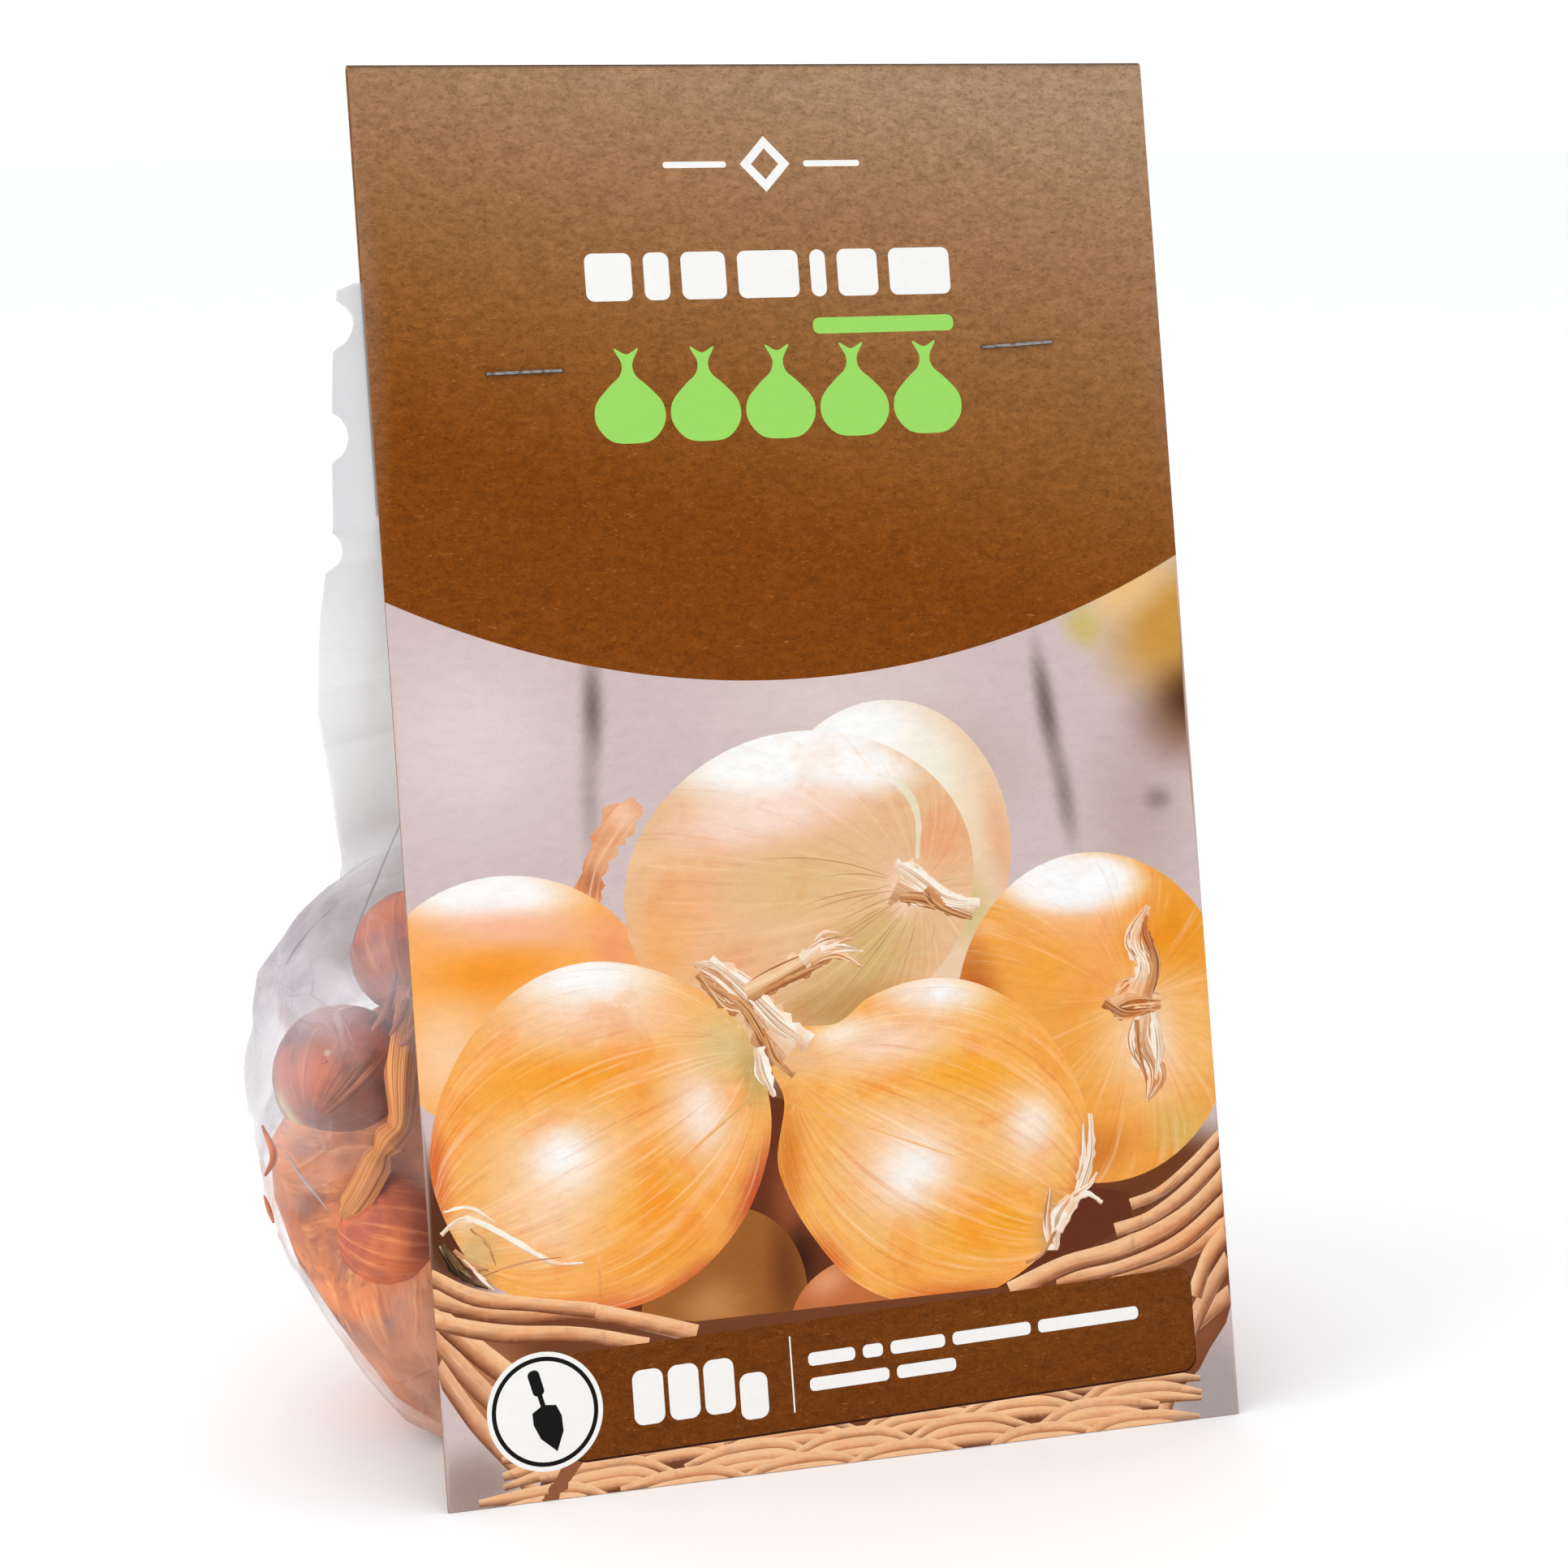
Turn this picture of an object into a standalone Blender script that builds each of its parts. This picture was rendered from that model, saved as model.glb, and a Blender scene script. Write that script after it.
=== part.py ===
"""A retail pack of onion sets: a folded header card stapled over the flat neck of a
perforated poly bag, with the small dry bulbs lying loose in the bag. The pack stands on
the bag's flattened bottom and on the card's lower edge, the card leaning back on the bag.

X runs along the card's width, +Y goes from the card to the bag, +Z is up.
Panel coordinates of the leaning card are (x, s, n): s up the card from its lower edge,
n back from its printed face."""

import math

import bmesh
import bpy
import numpy as np
from mathutils import Vector

MM = 0.001

# Header card: one strip of board folded over at the top.
CARD_WIDTH = 133.0 * MM
CARD_HEIGHT = 224.0 * MM
CARD_THICK = 0.5 * MM
CARD_LEAN = math.radians(13.34)
FLAP_LENGTH = 70.0 * MM
FOLD_STEPS = 8

# Poly bag.
FILM_THICK = 0.2 * MM
NECK_HALF_GAP = 0.25 * MM  # from the neck's middle to the middle of either panel
NECK_CLEARANCE = 0.3 * MM  # between the neck and the card on either side
MOUTH_DROP = 33.7 * MM  # mouth below the card's fold
BAG_MIDDLE_X = -8.8 * MM
BAG_HALF_WIDTH = 78.4 * MM
BAG_HALF_DEPTH = 37.2 * MM
BAG_HEIGHT = 89.0 * MM  # floor to the waist where the neck begins
CARD_TO_BAG = 0.4 * MM  # the card's back to the film, where the body touches it
BAG_COLUMNS = 36

# Vents punched through the film.
VENT_RADIUS = 4.0 * MM
VENT_PITCH = 17.8 * MM
VENT_FIRST = 6.1 * MM  # first vent's centre below the mouth
VENT_OUTSIDE = 1.5 * MM  # how far the neck vents' centres lie outside its edge
NECK_VENTS = 3
BODY_VENT_HEIGHTS = (47.5 * MM, 34.0 * MM)

# Staples.
STAPLE_WIDTH = 12.7 * MM
WIRE_RADIUS = 0.32 * MM
WIRE_BEND = 0.55 * MM
WIRE_CLEARANCE = 0.12 * MM
CLINCH_LENGTH = 4.4 * MM
STAPLES = {  # middle across the card, drop below its fold, tilt
    "staple_left": (-41.85 * MM, 48.7 * MM, math.radians(1.0)),
    "staple_right": (41.05 * MM, 46.5 * MM, math.radians(2.6)),
}
WIRE_SIDES = 8

# Onion sets: for the few that press against the film at the pack's left, the radius and
# the bulb's centre and neck points in mm, counted from the bag's left side along X; the
# rest are drawn between two radii and settled.
SET_COUNT = 40
SET_RADII = (11.0 * MM, 13.2 * MM)
SET_CLEARANCE = 0.35 * MM
NECK_RADIUS = 0.15  # of the bulb's radius
NECK_REACH = (1.4, 1.8)  # neck tip from the bulb's centre, in bulb radii
SET_SIDES = 8
FIXED_SETS = (
    (12.2 * MM, ((15.6, 48.8, 56.6), (23.7, 57.0, 62.5), (27.2, 61.5, 66.0))),
    (
        10.8 * MM,
        ((27.6, 48.0, 76.6), (25.2, 38.6, 69.0), (21.2, 32.2, 61.8), (18.8, 31.0, 51.5), (13.2, 35.0, 43.0)),
    ),
    (11.2 * MM, ((21.2, 36.3, 34.3), (32.2, 33.4, 31.8), (38.7, 32.0, 31.4))),
    (10.2 * MM, ((26.2, 43.8, 13.9), (34.2, 35.5, 14.0), (38.2, 31.0, 14.4))),
)

SIN, COS, TAN = math.sin(CARD_LEAN), math.cos(CARD_LEAN), math.tan(CARD_LEAN)
CARD_GAP = 2 * (NECK_HALF_GAP + FILM_THICK / 2 + NECK_CLEARANCE)
CARD_STACK = 2 * CARD_THICK + CARD_GAP
LIFT = CARD_THICK * SIN  # keeps the card's rear lower edge on the floor

for old in list(bpy.data.objects):
    bpy.data.objects.remove(old, do_unlink=True)


def on_card(x, s, n):
    """World position of a point in the card's panel coordinates."""
    return (x, s * SIN + n * COS, LIFT + s * COS - n * SIN)


def material(name, colour, roughness, metallic=0.0, alpha=1.0):
    made = bpy.data.materials.new(name)
    made.use_nodes = True
    shader = made.node_tree.nodes["Principled BSDF"]
    shader.inputs["Base Color"].default_value = (*colour, 1.0)
    shader.inputs["Roughness"].default_value = roughness
    shader.inputs["Metallic"].default_value = metallic
    shader.inputs["Alpha"].default_value = alpha
    return made


def solid(name, points, faces, look):
    """One named object from points and faces, its normals turned outwards."""
    mesh = bpy.data.meshes.new(name)
    mesh.from_pydata([tuple(p) for p in points], [], [tuple(f) for f in faces])
    bm = bmesh.new()
    bm.from_mesh(mesh)
    bmesh.ops.recalc_face_normals(bm, faces=bm.faces)
    bm.to_mesh(mesh)
    bm.free()
    mesh.materials.append(look)
    obj = bpy.data.objects.new(name, mesh)
    bpy.context.scene.collection.objects.link(obj)
    return obj


def tube(rings, close_start=True, close_end=True):
    """Points and faces of a closed skin through rings that all have the same count."""
    count = len(rings[0])
    points = [p for ring in rings for p in ring]
    faces = []
    for i in range(len(rings) - 1):
        for j in range(count):
            k = (j + 1) % count
            a, b = i * count, (i + 1) * count
            faces.append((a + j, a + k, b + k, b + j))
    if close_start:
        faces.append(tuple(range(count)))
    if close_end:
        last = (len(rings) - 1) * count
        faces.append(tuple(range(last, last + count)))
    return points, faces


def cut(obj, cutter):
    cutter.hide_render = True
    cutter.hide_viewport = True
    made = obj.modifiers.new("holes", "BOOLEAN")
    made.operation = "DIFFERENCE"
    made.solver = "EXACT"
    made.object = cutter


def rods(name, ends, radius, sides):
    """Cutters: one mesh of separate straight rods between pairs of end points."""
    points, faces = [], []
    for start, end in ends:
        start, end = Vector(start), Vector(end)
        along = (end - start).normalized()
        side = along.orthogonal().normalized()
        other = along.cross(side)
        first = len(points)
        for centre in (start, end):
            for j in range(sides):
                turn = 2 * math.pi * (j + 0.5) / sides
                points.append(centre + radius * (math.cos(turn) * side + math.sin(turn) * other))
        for j in range(sides):
            k = (j + 1) % sides
            faces.append((first + j, first + k, first + sides + k, first + sides + j))
        faces.append(tuple(first + j for j in range(sides)))
        faces.append(tuple(first + sides + j for j in range(sides)))
    return solid(name, points, faces, clear_film)


kraft_board = material("kraft_board", (0.34, 0.19, 0.09), 0.75)
clear_film = material("clear_film", (0.86, 0.86, 0.88), 0.25, alpha=0.35)
steel_wire = material("steel_wire", (0.62, 0.62, 0.64), 0.3, metallic=1.0)

# ---------------------------------------------------------------------------
# Header card: a U of board, open downwards, the back flap shorter than the front.
# ---------------------------------------------------------------------------
fold_centre_n = CARD_THICK + CARD_GAP / 2
fold_centre_s = CARD_HEIGHT - fold_centre_n
outline = [(0.0, 0.0)]
for step in range(FOLD_STEPS + 1):
    turn = math.pi * step / FOLD_STEPS
    outline.append((fold_centre_s + fold_centre_n * math.sin(turn), fold_centre_n - fold_centre_n * math.cos(turn)))
flap_end = CARD_HEIGHT - FLAP_LENGTH
outline += [(flap_end, CARD_STACK), (flap_end, CARD_STACK - CARD_THICK)]
for step in range(FOLD_STEPS, -1, -1):
    turn = math.pi * step / FOLD_STEPS
    inner = CARD_GAP / 2
    outline.append((fold_centre_s + inner * math.sin(turn), fold_centre_n - inner * math.cos(turn)))
outline.append((0.0, CARD_THICK))
card_rings = [[on_card(x, s, n) for s, n in outline] for x in (-CARD_WIDTH / 2, CARD_WIDTH / 2)]
header_card = solid("header_card", *tube(card_rings), kraft_board)

# ---------------------------------------------------------------------------
# Staples: crown across the front, legs through card, film and flap, tips clinched inwards.
# ---------------------------------------------------------------------------
leg_ends = []
for name, (middle_x, drop, tilt) in STAPLES.items():
    middle_s = CARD_HEIGHT - drop
    half = STAPLE_WIDTH / 2 - WIRE_RADIUS
    front = -(WIRE_RADIUS + WIRE_CLEARANCE)
    back = CARD_STACK + WIRE_RADIUS + WIRE_CLEARANCE
    corners = [(half - CLINCH_LENGTH, back), (half, back), (half, front), (-half, front), (-half, back), (CLINCH_LENGTH - half, back)]
    path = [Vector((*corners[0], 0.0))]
    for before, corner, after in zip(corners, corners[1:], corners[2:]):
        corner = Vector((*corner, 0.0))
        start = corner + (Vector((*before, 0.0)) - corner).normalized() * WIRE_BEND
        end = corner + (Vector((*after, 0.0)) - corner).normalized() * WIRE_BEND
        for step in range(4):
            t = step / 3
            path.append(start * (1 - t) ** 2 + corner * 2 * t * (1 - t) + end * t**2)
    path.append(Vector((*corners[-1], 0.0)))
    rings = []
    for i, point in enumerate(path):
        along = (path[min(i + 1, len(path) - 1)] - path[max(i - 1, 0)]).normalized()
        across = Vector((-along.y, along.x, 0.0))
        ring = []
        for j in range(WIRE_SIDES):
            turn = 2 * math.pi * j / WIRE_SIDES
            local = point + WIRE_RADIUS * math.cos(turn) * across
            rise = WIRE_RADIUS * math.sin(turn)
            x = local.x * math.cos(tilt) - rise * math.sin(tilt)
            s = local.x * math.sin(tilt) + rise * math.cos(tilt)
            ring.append(on_card(middle_x + x, middle_s + s, local.y))
        rings.append(ring)
    solid(name, *tube(rings), steel_wire)
    for side in (-half, half):
        x, s = middle_x + side * math.cos(tilt), middle_s + side * math.sin(tilt)
        leg_ends.append((on_card(x, s, -2 * MM), on_card(x, s, CARD_STACK + 2 * MM)))

leg_holes = rods("leg_holes", leg_ends, WIRE_RADIUS + WIRE_CLEARANCE, 10)
cut(header_card, leg_holes)

# ---------------------------------------------------------------------------
# Poly bag: rings from the flat bottom patch, through the full body and the waist, to the
# open mouth between the card and its flap. Each row: height, half width, middle of the
# depth, half depth, squareness, and how much higher the ring stands at its middle.
# ---------------------------------------------------------------------------
neck_n = CARD_THICK + CARD_GAP / 2
mouth_s = CARD_HEIGHT - MOUTH_DROP
mouth_z = mouth_s * COS - neck_n * SIN
flap_z = flap_end * COS - CARD_STACK * SIN


def neck_y(z):
    return z * TAN + neck_n / COS


body = [  # height, half width, middle, half depth as shares of the bag's own sizes
    (0.0, 0.610, 34.0, 0.640, 2.3, 0.0),
    (0.014, 0.690, 35.5, 0.760, 2.3, 0.0),
    (0.045, 0.750, 37.4, 0.865, 2.3, 0.0),
    (0.112, 0.806, 39.8, 0.955, 2.3, 0.0),
    (0.202, 0.868, 42.2, 0.985, 2.3, 0.0),
    (0.303, 0.937, 44.6, 1.000, 2.3, 0.0),
    (0.416, 0.980, 46.8, 0.988, 2.3, 0.0),
    (0.539, 1.000, 48.2, 0.950, 2.3, 0.5),
    (0.652, 0.994, 49.0, 0.905, 2.3, 1.6),
    (0.753, 0.982, 49.4, 0.852, 2.3, 3.4),
    (0.831, 0.962, 49.5, 0.790, 2.3, 6.0),
    (0.888, 0.910, 49.6, 0.700, 2.3, 8.5),
    (0.933, 0.852, 49.4, 0.575, 2.3, 10.8),
    (0.978, 0.800, 48.6, 0.420, 2.3, 12.5),
    (1.022, 0.790, 47.0, 0.275, 2.4, 13.0),
    (1.080, 0.802, 44.9, 0.165, 2.6, 12.0),
    (1.160, 0.820, 42.8, 0.085, 3.0, 9.5),
    (1.260, 0.835, 41.2, 0.035, 4.0, 5.5),
]
neck_start = flap_z - 1.5 * MM
stations = []
for rise, wide, middle, deep, square, arch in body:
    z = rise * BAG_HEIGHT + FILM_THICK / 2
    if z > neck_start - 9 * MM:
        break
    b = deep * BAG_HALF_DEPTH
    y = middle * MM
    nearest = z * TAN + (CARD_THICK + CARD_TO_BAG) / COS + FILM_THICK
    stations.append([z, wide * BAG_HALF_WIDTH, max(y, nearest + b), b, square, arch * MM])
# The neck hangs free from the body up to the flap: how far up, half width, distance
# behind the card's face, half depth, squareness, rise at the middle.
waist_z = stations[-1][0]
for share, wide, behind, deep, square, arch in (
    (0.30, 0.840, 11.0, 0.48, 6.0, 1.5),
    (0.60, 0.836, 7.2, 0.32, 9.0, 0.0),
    (0.82, 0.833, 3.9, 0.26, 12.0, 0.0),
    (0.96, 0.829, 1.9, 0.26, 12.0, 0.0),
):
    z = waist_z + (neck_start - waist_z) * share
    stations.append([z, wide * BAG_HALF_WIDTH, z * TAN + behind * MM, deep * MM, square, arch * MM])
for step in range(6):
    z = neck_start + (mouth_z - neck_start) * step / 5
    wide = 0.827 - 0.040 * step / 5
    stations.append([z, wide * BAG_HALF_WIDTH, neck_y(z), NECK_HALF_GAP / COS, 12.0, 0.0])

rings = []
for z, a, y, b, square, arch in stations:
    ring = []
    for j in range(BAG_COLUMNS):
        turn = 2 * math.pi * j / BAG_COLUMNS
        u, side = math.cos(turn), math.copysign(1.0, math.sin(turn))
        depth = side * b * max(0.0, 1 - abs(u) ** square) ** (1 / square)
        if j in (0, BAG_COLUMNS // 2):
            depth = 0.0
        lift = arch * (1 - u * u)
        ring.append(Vector((BAG_MIDDLE_X + a * u, y + depth + lift * TAN, z + lift)))
    rings.append(ring)
floor_rings = []
centre = Vector((BAG_MIDDLE_X, stations[0][2], stations[0][0]))
for share in (0.3, 0.62, 0.88):
    floor_rings.append([centre + (p - centre) * share for p in rings[0]])
middle_skin, middle_faces = tube(floor_rings + rings, close_end=False)

sheet = bmesh.new()
for p in middle_skin:
    sheet.verts.new(p)
sheet.verts.ensure_lookup_table()
for f in middle_faces:
    sheet.faces.new([sheet.verts[i] for i in f])
bmesh.ops.recalc_face_normals(sheet, faces=sheet.faces)
sheet.faces.ensure_lookup_table()
if sheet.faces[-1].normal.z > 0:  # the bottom face looks down
    bmesh.ops.reverse_faces(sheet, faces=sheet.faces)
sheet.normal_update()
outer = [v.co + v.normal * FILM_THICK / 2 for v in sheet.verts]
inner = [v.co - v.normal * FILM_THICK / 2 for v in sheet.verts]
inward = [(f.calc_center_median(), -f.normal) for f in sheet.faces]
sheet.free()
count = len(middle_skin)
film_faces = [tuple(f) for f in middle_faces] + [tuple(i + count for i in reversed(f)) for f in middle_faces]
rim = count - BAG_COLUMNS
for j in range(BAG_COLUMNS):
    k = (j + 1) % BAG_COLUMNS
    film_faces.append((rim + j, rim + k, rim + k + count, rim + j + count))
poly_bag = solid("poly_bag", outer + inner, film_faces, clear_film)

# Vents: half holes down the neck's left edge, and two in the body's left side.
vent_ends = []
edge_x = [(z, BAG_MIDDLE_X - a) for z, a, *_ in stations]
for i in range(NECK_VENTS):
    s = mouth_s - VENT_FIRST - i * VENT_PITCH
    z = s * COS - neck_n * SIN
    x = float(np.interp(z, [e[0] for e in edge_x], [e[1] for e in edge_x])) - VENT_OUTSIDE
    vent_ends.append(((x, z * TAN - 14 * MM, z), (x, z * TAN + 14 * MM, z)))
for z in BODY_VENT_HEIGHTS:
    vent_ends.append(((BAG_MIDDLE_X - BAG_HALF_WIDTH - 6 * MM, 50 * MM, z), (BAG_MIDDLE_X - 0.86 * BAG_HALF_WIDTH, 50 * MM, z)))
vents = rods("vents", vent_ends, VENT_RADIUS, 14)
cut(poly_bag, vents)
cut(poly_bag, leg_holes)

# ---------------------------------------------------------------------------
# Onion sets: each a globe with a root plate and a dry tapering neck. Every set is a bulb
# ball and a row of small balls along its neck while the heap settles in the bag.
# ---------------------------------------------------------------------------
rng = np.random.default_rng(11)
loose = SET_COUNT - len(FIXED_SETS)
walls = [(p, n) for p, n in inward if p.z < 1.4 * BAG_HEIGHT]
wall_point = np.array([p for p, _ in walls])
wall_normal = np.array([n for _, n in walls])
wall_level = (wall_point * wall_normal).sum(1)

radius = rng.uniform(*SET_RADII, loose)
reach = radius * rng.uniform(*NECK_REACH, loose)
shares = np.array([0.0, 0.30, 0.55, 0.78, 1.0])
ball_radius = radius[:, None] * np.array([1.0, 0.80, 0.40, 0.24, 0.19])

bulb = np.empty((loose, 3))
slot = 0
for level in range(12):
    for i in range(5):
        for j in range(2):
            if slot < loose:
                bulb[slot] = (
                    (-46 + 25.5 * i + 6 * (level % 2)) * MM,
                    (27 + 27 * j + 4 * level) * MM,
                    (16 + 25 * level) * MM,
                )
                slot += 1
bulb += rng.normal(0, 1.5 * MM, bulb.shape)
aim = rng.normal(0, 1, bulb.shape)
aim /= np.linalg.norm(aim, axis=1)[:, None]
tip = bulb + aim * reach[:, None]

left_side = np.array([BAG_MIDDLE_X - BAG_HALF_WIDTH, 0.0, 0.0])
fixed_centres, fixed_radii = [], []
for r, neck in FIXED_SETS:
    neck = left_side + np.array(neck) * MM
    fixed_centres.append(neck[0])
    fixed_radii.append(r)
    for start, end in zip(neck, neck[1:]):
        for t in (0.25, 0.5, 0.75, 1.0):
            at = start * (1 - t) + end * t
            fixed_centres.append(at)
            fixed_radii.append(0.27 * r)
fixed_centres, fixed_radii = np.array(fixed_centres), np.array(fixed_radii)

owner = np.repeat(np.arange(loose), len(shares))
flat_radius = ball_radius.reshape(-1)
apart = owner[:, None] != owner[None, :]
pair_room = flat_radius[:, None] + flat_radius[None, :] + SET_CLEARANCE
fixed_room = flat_radius[:, None] + fixed_radii[None, :] + SET_CLEARANCE
steps = 1600
for step in range(steps):
    settling = step < 0.8 * steps
    if settling:
        shake = rng.normal(0, 0.22 * MM * (1 - step / steps), (2, loose, 3))
        bulb += shake[0]
        tip += 2 * shake[1]
        bulb[:, 2] -= 0.16 * MM
        tip[:, 2] -= 0.10 * MM
    balls = (bulb[:, None] + (tip - bulb)[:, None] * shares[:, None]).reshape(-1, 3)
    push = np.zeros_like(balls)
    offset = balls[:, None] - balls[None]
    distance = np.linalg.norm(offset, axis=2) + 1e-9
    deep = np.where(apart, pair_room - distance, 0.0).clip(0)
    push += (offset / distance[..., None] * deep[..., None]).sum(1) * 0.5
    offset = balls[:, None] - fixed_centres[None]
    distance = np.linalg.norm(offset, axis=2) + 1e-9
    deep = (fixed_room - distance).clip(0)
    push += (offset / distance[..., None] * deep[..., None]).sum(1)
    room = balls @ wall_normal.T - wall_level[None]
    away = np.linalg.norm(balls[:, None] - wall_point[None], axis=2)
    room = np.where(away < flat_radius[:, None] + 11 * MM, room, 1.0)
    nearest = room.argmin(1)
    short = (flat_radius + SET_CLEARANCE + FILM_THICK - room[np.arange(len(balls)), nearest]).clip(0)
    push += wall_normal[nearest] * short[:, None]
    push = push.reshape(loose, -1, 3) * 0.55
    weight = shares[None, :, None]
    bulb += (push * (1 - weight)).sum(1)
    tip += (push * weight).sum(1)
    along = tip - bulb
    length = np.linalg.norm(along, axis=1)[:, None]
    spare = along / length * (length - reach[:, None])
    bulb += spare * 0.15
    tip -= spare * 0.85

PROFILE = (  # along the axis and out from it, in bulb radii, root plate to shoulder
    (-0.90, 0.16),
    (-0.86, 0.36),
    (-0.66, 0.70),
    (-0.32, 0.925),
    (0.05, 0.985),
    (0.40, 0.885),
    (0.68, 0.655),
    (0.88, 0.40),
    (1.02, 0.24),
)
TINTS = ((0.55, 0.22, 0.08), (0.42, 0.16, 0.08), (0.62, 0.30, 0.11))
skins = [material(f"onion_skin_{i + 1}", tint, 0.45) for i, tint in enumerate(TINTS)]


def onion_set(name, r, neck, look):
    """A globe of radius r at neck[0], its neck running through the other points."""
    neck = [Vector(p) for p in neck]
    centre, axis = neck[0], (neck[1] - neck[0]).normalized()
    side = axis.orthogonal().normalized()
    rings = []
    for along, out in PROFILE:
        other = axis.cross(side)
        rings.append(
            [
                centre
                + axis * along * r
                + out * r * (math.cos(2 * math.pi * j / SET_SIDES) * side + math.sin(2 * math.pi * j / SET_SIDES) * other)
                for j in range(SET_SIDES)
            ]
        )
    start = centre + axis * 1.02 * r
    run = [start] + [p for p in neck[1:] if (p - centre).length > 1.25 * r]
    points = [p for a, b in zip(run, run[1:]) for p in (a.lerp(b, 0.5), b)]
    last = axis
    before = start
    for i, point in enumerate(points):
        along = (point - before).normalized()
        after = (points[i + 1] - point).normalized() if i + 1 < len(points) else along
        facing = (along + after).normalized()
        side = (side - facing * side.dot(facing)).normalized()
        other = facing.cross(side)
        out = r * NECK_RADIUS * (1.0 - 0.25 * (i + 1) / len(points))
        rings.append(
            [
                point + out * (math.cos(2 * math.pi * j / SET_SIDES) * side + math.sin(2 * math.pi * j / SET_SIDES) * other)
                for j in range(SET_SIDES)
            ]
        )
        before = point
    return solid(name, *tube(rings), look)


shapes = [(r, [left_side + np.array(p) * MM for p in neck]) for r, neck in FIXED_SETS]
for i in range(loose):
    shapes.append((float(radius[i]), [bulb[i], bulb[i] * 0.35 + tip[i] * 0.65, tip[i]]))
for i, (r, neck) in enumerate(shapes):
    onion_set(f"onion_set_{i + 1:02d}", r, neck, skins[i % len(skins)])

# ---------------------------------------------------------------------------
# The whole pack hangs on one empty, moved so that the origin is the bottom centre of its box.
# ---------------------------------------------------------------------------
bpy.context.view_layer.update()
low, high = np.full(3, 1e9), np.full(3, -1e9)
for obj in bpy.context.scene.objects:
    if not obj.hide_render:
        points = np.array([v.co for v in obj.data.vertices])
        low, high = np.minimum(low, points.min(0)), np.maximum(high, points.max(0))
pack_origin = bpy.data.objects.new("pack_origin", None)
bpy.context.scene.collection.objects.link(pack_origin)
pack_origin.location = (-(low[0] + high[0]) / 2, -(low[1] + high[1]) / 2, -low[2])
for obj in list(bpy.context.scene.objects):
    if obj is not pack_origin:
        obj.parent = pack_origin
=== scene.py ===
"""Looks for a retail pack of onion sets: dry bulbs in a perforated film bag, stapled
under a printed header card that leans back on the bag. Everything is in metres around
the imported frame, and each section below makes one piece or one group of like pieces."""

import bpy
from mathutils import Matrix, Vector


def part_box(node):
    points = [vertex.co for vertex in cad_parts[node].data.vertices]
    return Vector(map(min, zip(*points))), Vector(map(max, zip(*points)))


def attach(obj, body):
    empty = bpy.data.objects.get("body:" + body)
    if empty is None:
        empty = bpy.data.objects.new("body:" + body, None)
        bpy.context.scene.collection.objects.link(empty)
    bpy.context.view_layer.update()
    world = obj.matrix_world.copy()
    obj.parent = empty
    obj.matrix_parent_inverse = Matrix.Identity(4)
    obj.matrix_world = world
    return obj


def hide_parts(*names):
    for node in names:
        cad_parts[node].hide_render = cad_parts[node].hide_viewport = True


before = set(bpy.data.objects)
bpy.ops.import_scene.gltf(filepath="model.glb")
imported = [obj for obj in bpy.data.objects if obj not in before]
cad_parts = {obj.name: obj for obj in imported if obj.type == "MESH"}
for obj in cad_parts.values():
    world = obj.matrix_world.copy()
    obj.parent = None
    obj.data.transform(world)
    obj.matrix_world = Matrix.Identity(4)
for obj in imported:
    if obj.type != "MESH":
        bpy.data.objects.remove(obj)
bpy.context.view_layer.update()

import math

import bpy
import numpy as np
from mathutils import Vector, geometry

# ---------------------------------------------------------------------------
# Onion sets. Small dry bulbs for planting: layers of papery skin, copper to plum, drawn
# up into a withered neck, with a corky root plate below. They go into the bag first and
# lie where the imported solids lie.
# ---------------------------------------------------------------------------
MM = 0.001
SET_SIDES = 56
SET_PROFILE = (  # along the axis and out from it, in bulb radii
    (-0.885, 0.02), (-0.90, 0.09), (-0.895, 0.16), (-0.885, 0.25), (-0.855, 0.37), (-0.78, 0.54),
    (-0.66, 0.70), (-0.50, 0.83), (-0.32, 0.925), (-0.13, 0.975), (0.05, 0.99), (0.23, 0.96),
    (0.40, 0.89), (0.55, 0.785), (0.68, 0.66), (0.79, 0.52), (0.88, 0.40), (0.95, 0.31),
    (1.02, 0.245), (1.10, 0.20),
)
WIDEST, FOOT, NECK_START = 0.985, 0.90, 1.10  # a bulb's girth, root plate and neck, in bulb radii
bag_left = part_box("poly_bag")[0].x
card_face_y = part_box("header_card")[0].y
BENT_NECKS = {  # bulb centre and neck points in mm, from the bag's left side and the card's foot
    "onion_set_01": ((15.6, 48.8, 56.6), (23.7, 57.0, 62.5), (27.2, 61.5, 66.0)),
    "onion_set_02": (
        (27.6, 48.0, 76.6), (25.2, 38.6, 69.0), (22.0, 32.4, 61.8), (21.0, 30.8, 53.6), (18.4, 30.6, 50.4),
        (14.6, 31.4, 43.0), (11.4, 32.6, 38.2)
    ),
    "onion_set_03": ((21.2, 36.3, 34.3), (32.2, 33.4, 31.8), (38.7, 32.0, 31.4)),
    "onion_set_04": ((26.2, 43.8, 13.9), (34.2, 35.5, 14.0), (38.2, 31.0, 14.4)),
}
NECK_WIDTHS = {  # where a long neck is broad or pinched, in bulb radii
    "onion_set_02": (
        (0.0, 0.2, 0.35, 0.45, 0.58, 0.64, 0.68, 0.9, 1.0), (0.34, 0.34, 0.22, 0.19, 0.22, 0.13, 0.21, 0.17, 0.08)
    ),
    "onion_set_03": ((0.0, 0.5, 1.0), (0.30, 0.24, 0.12)),
}
BENT_RADII = {"onion_set_01": 12.2, "onion_set_02": 10.8, "onion_set_03": 11.2, "onion_set_04": 10.2}


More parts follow.
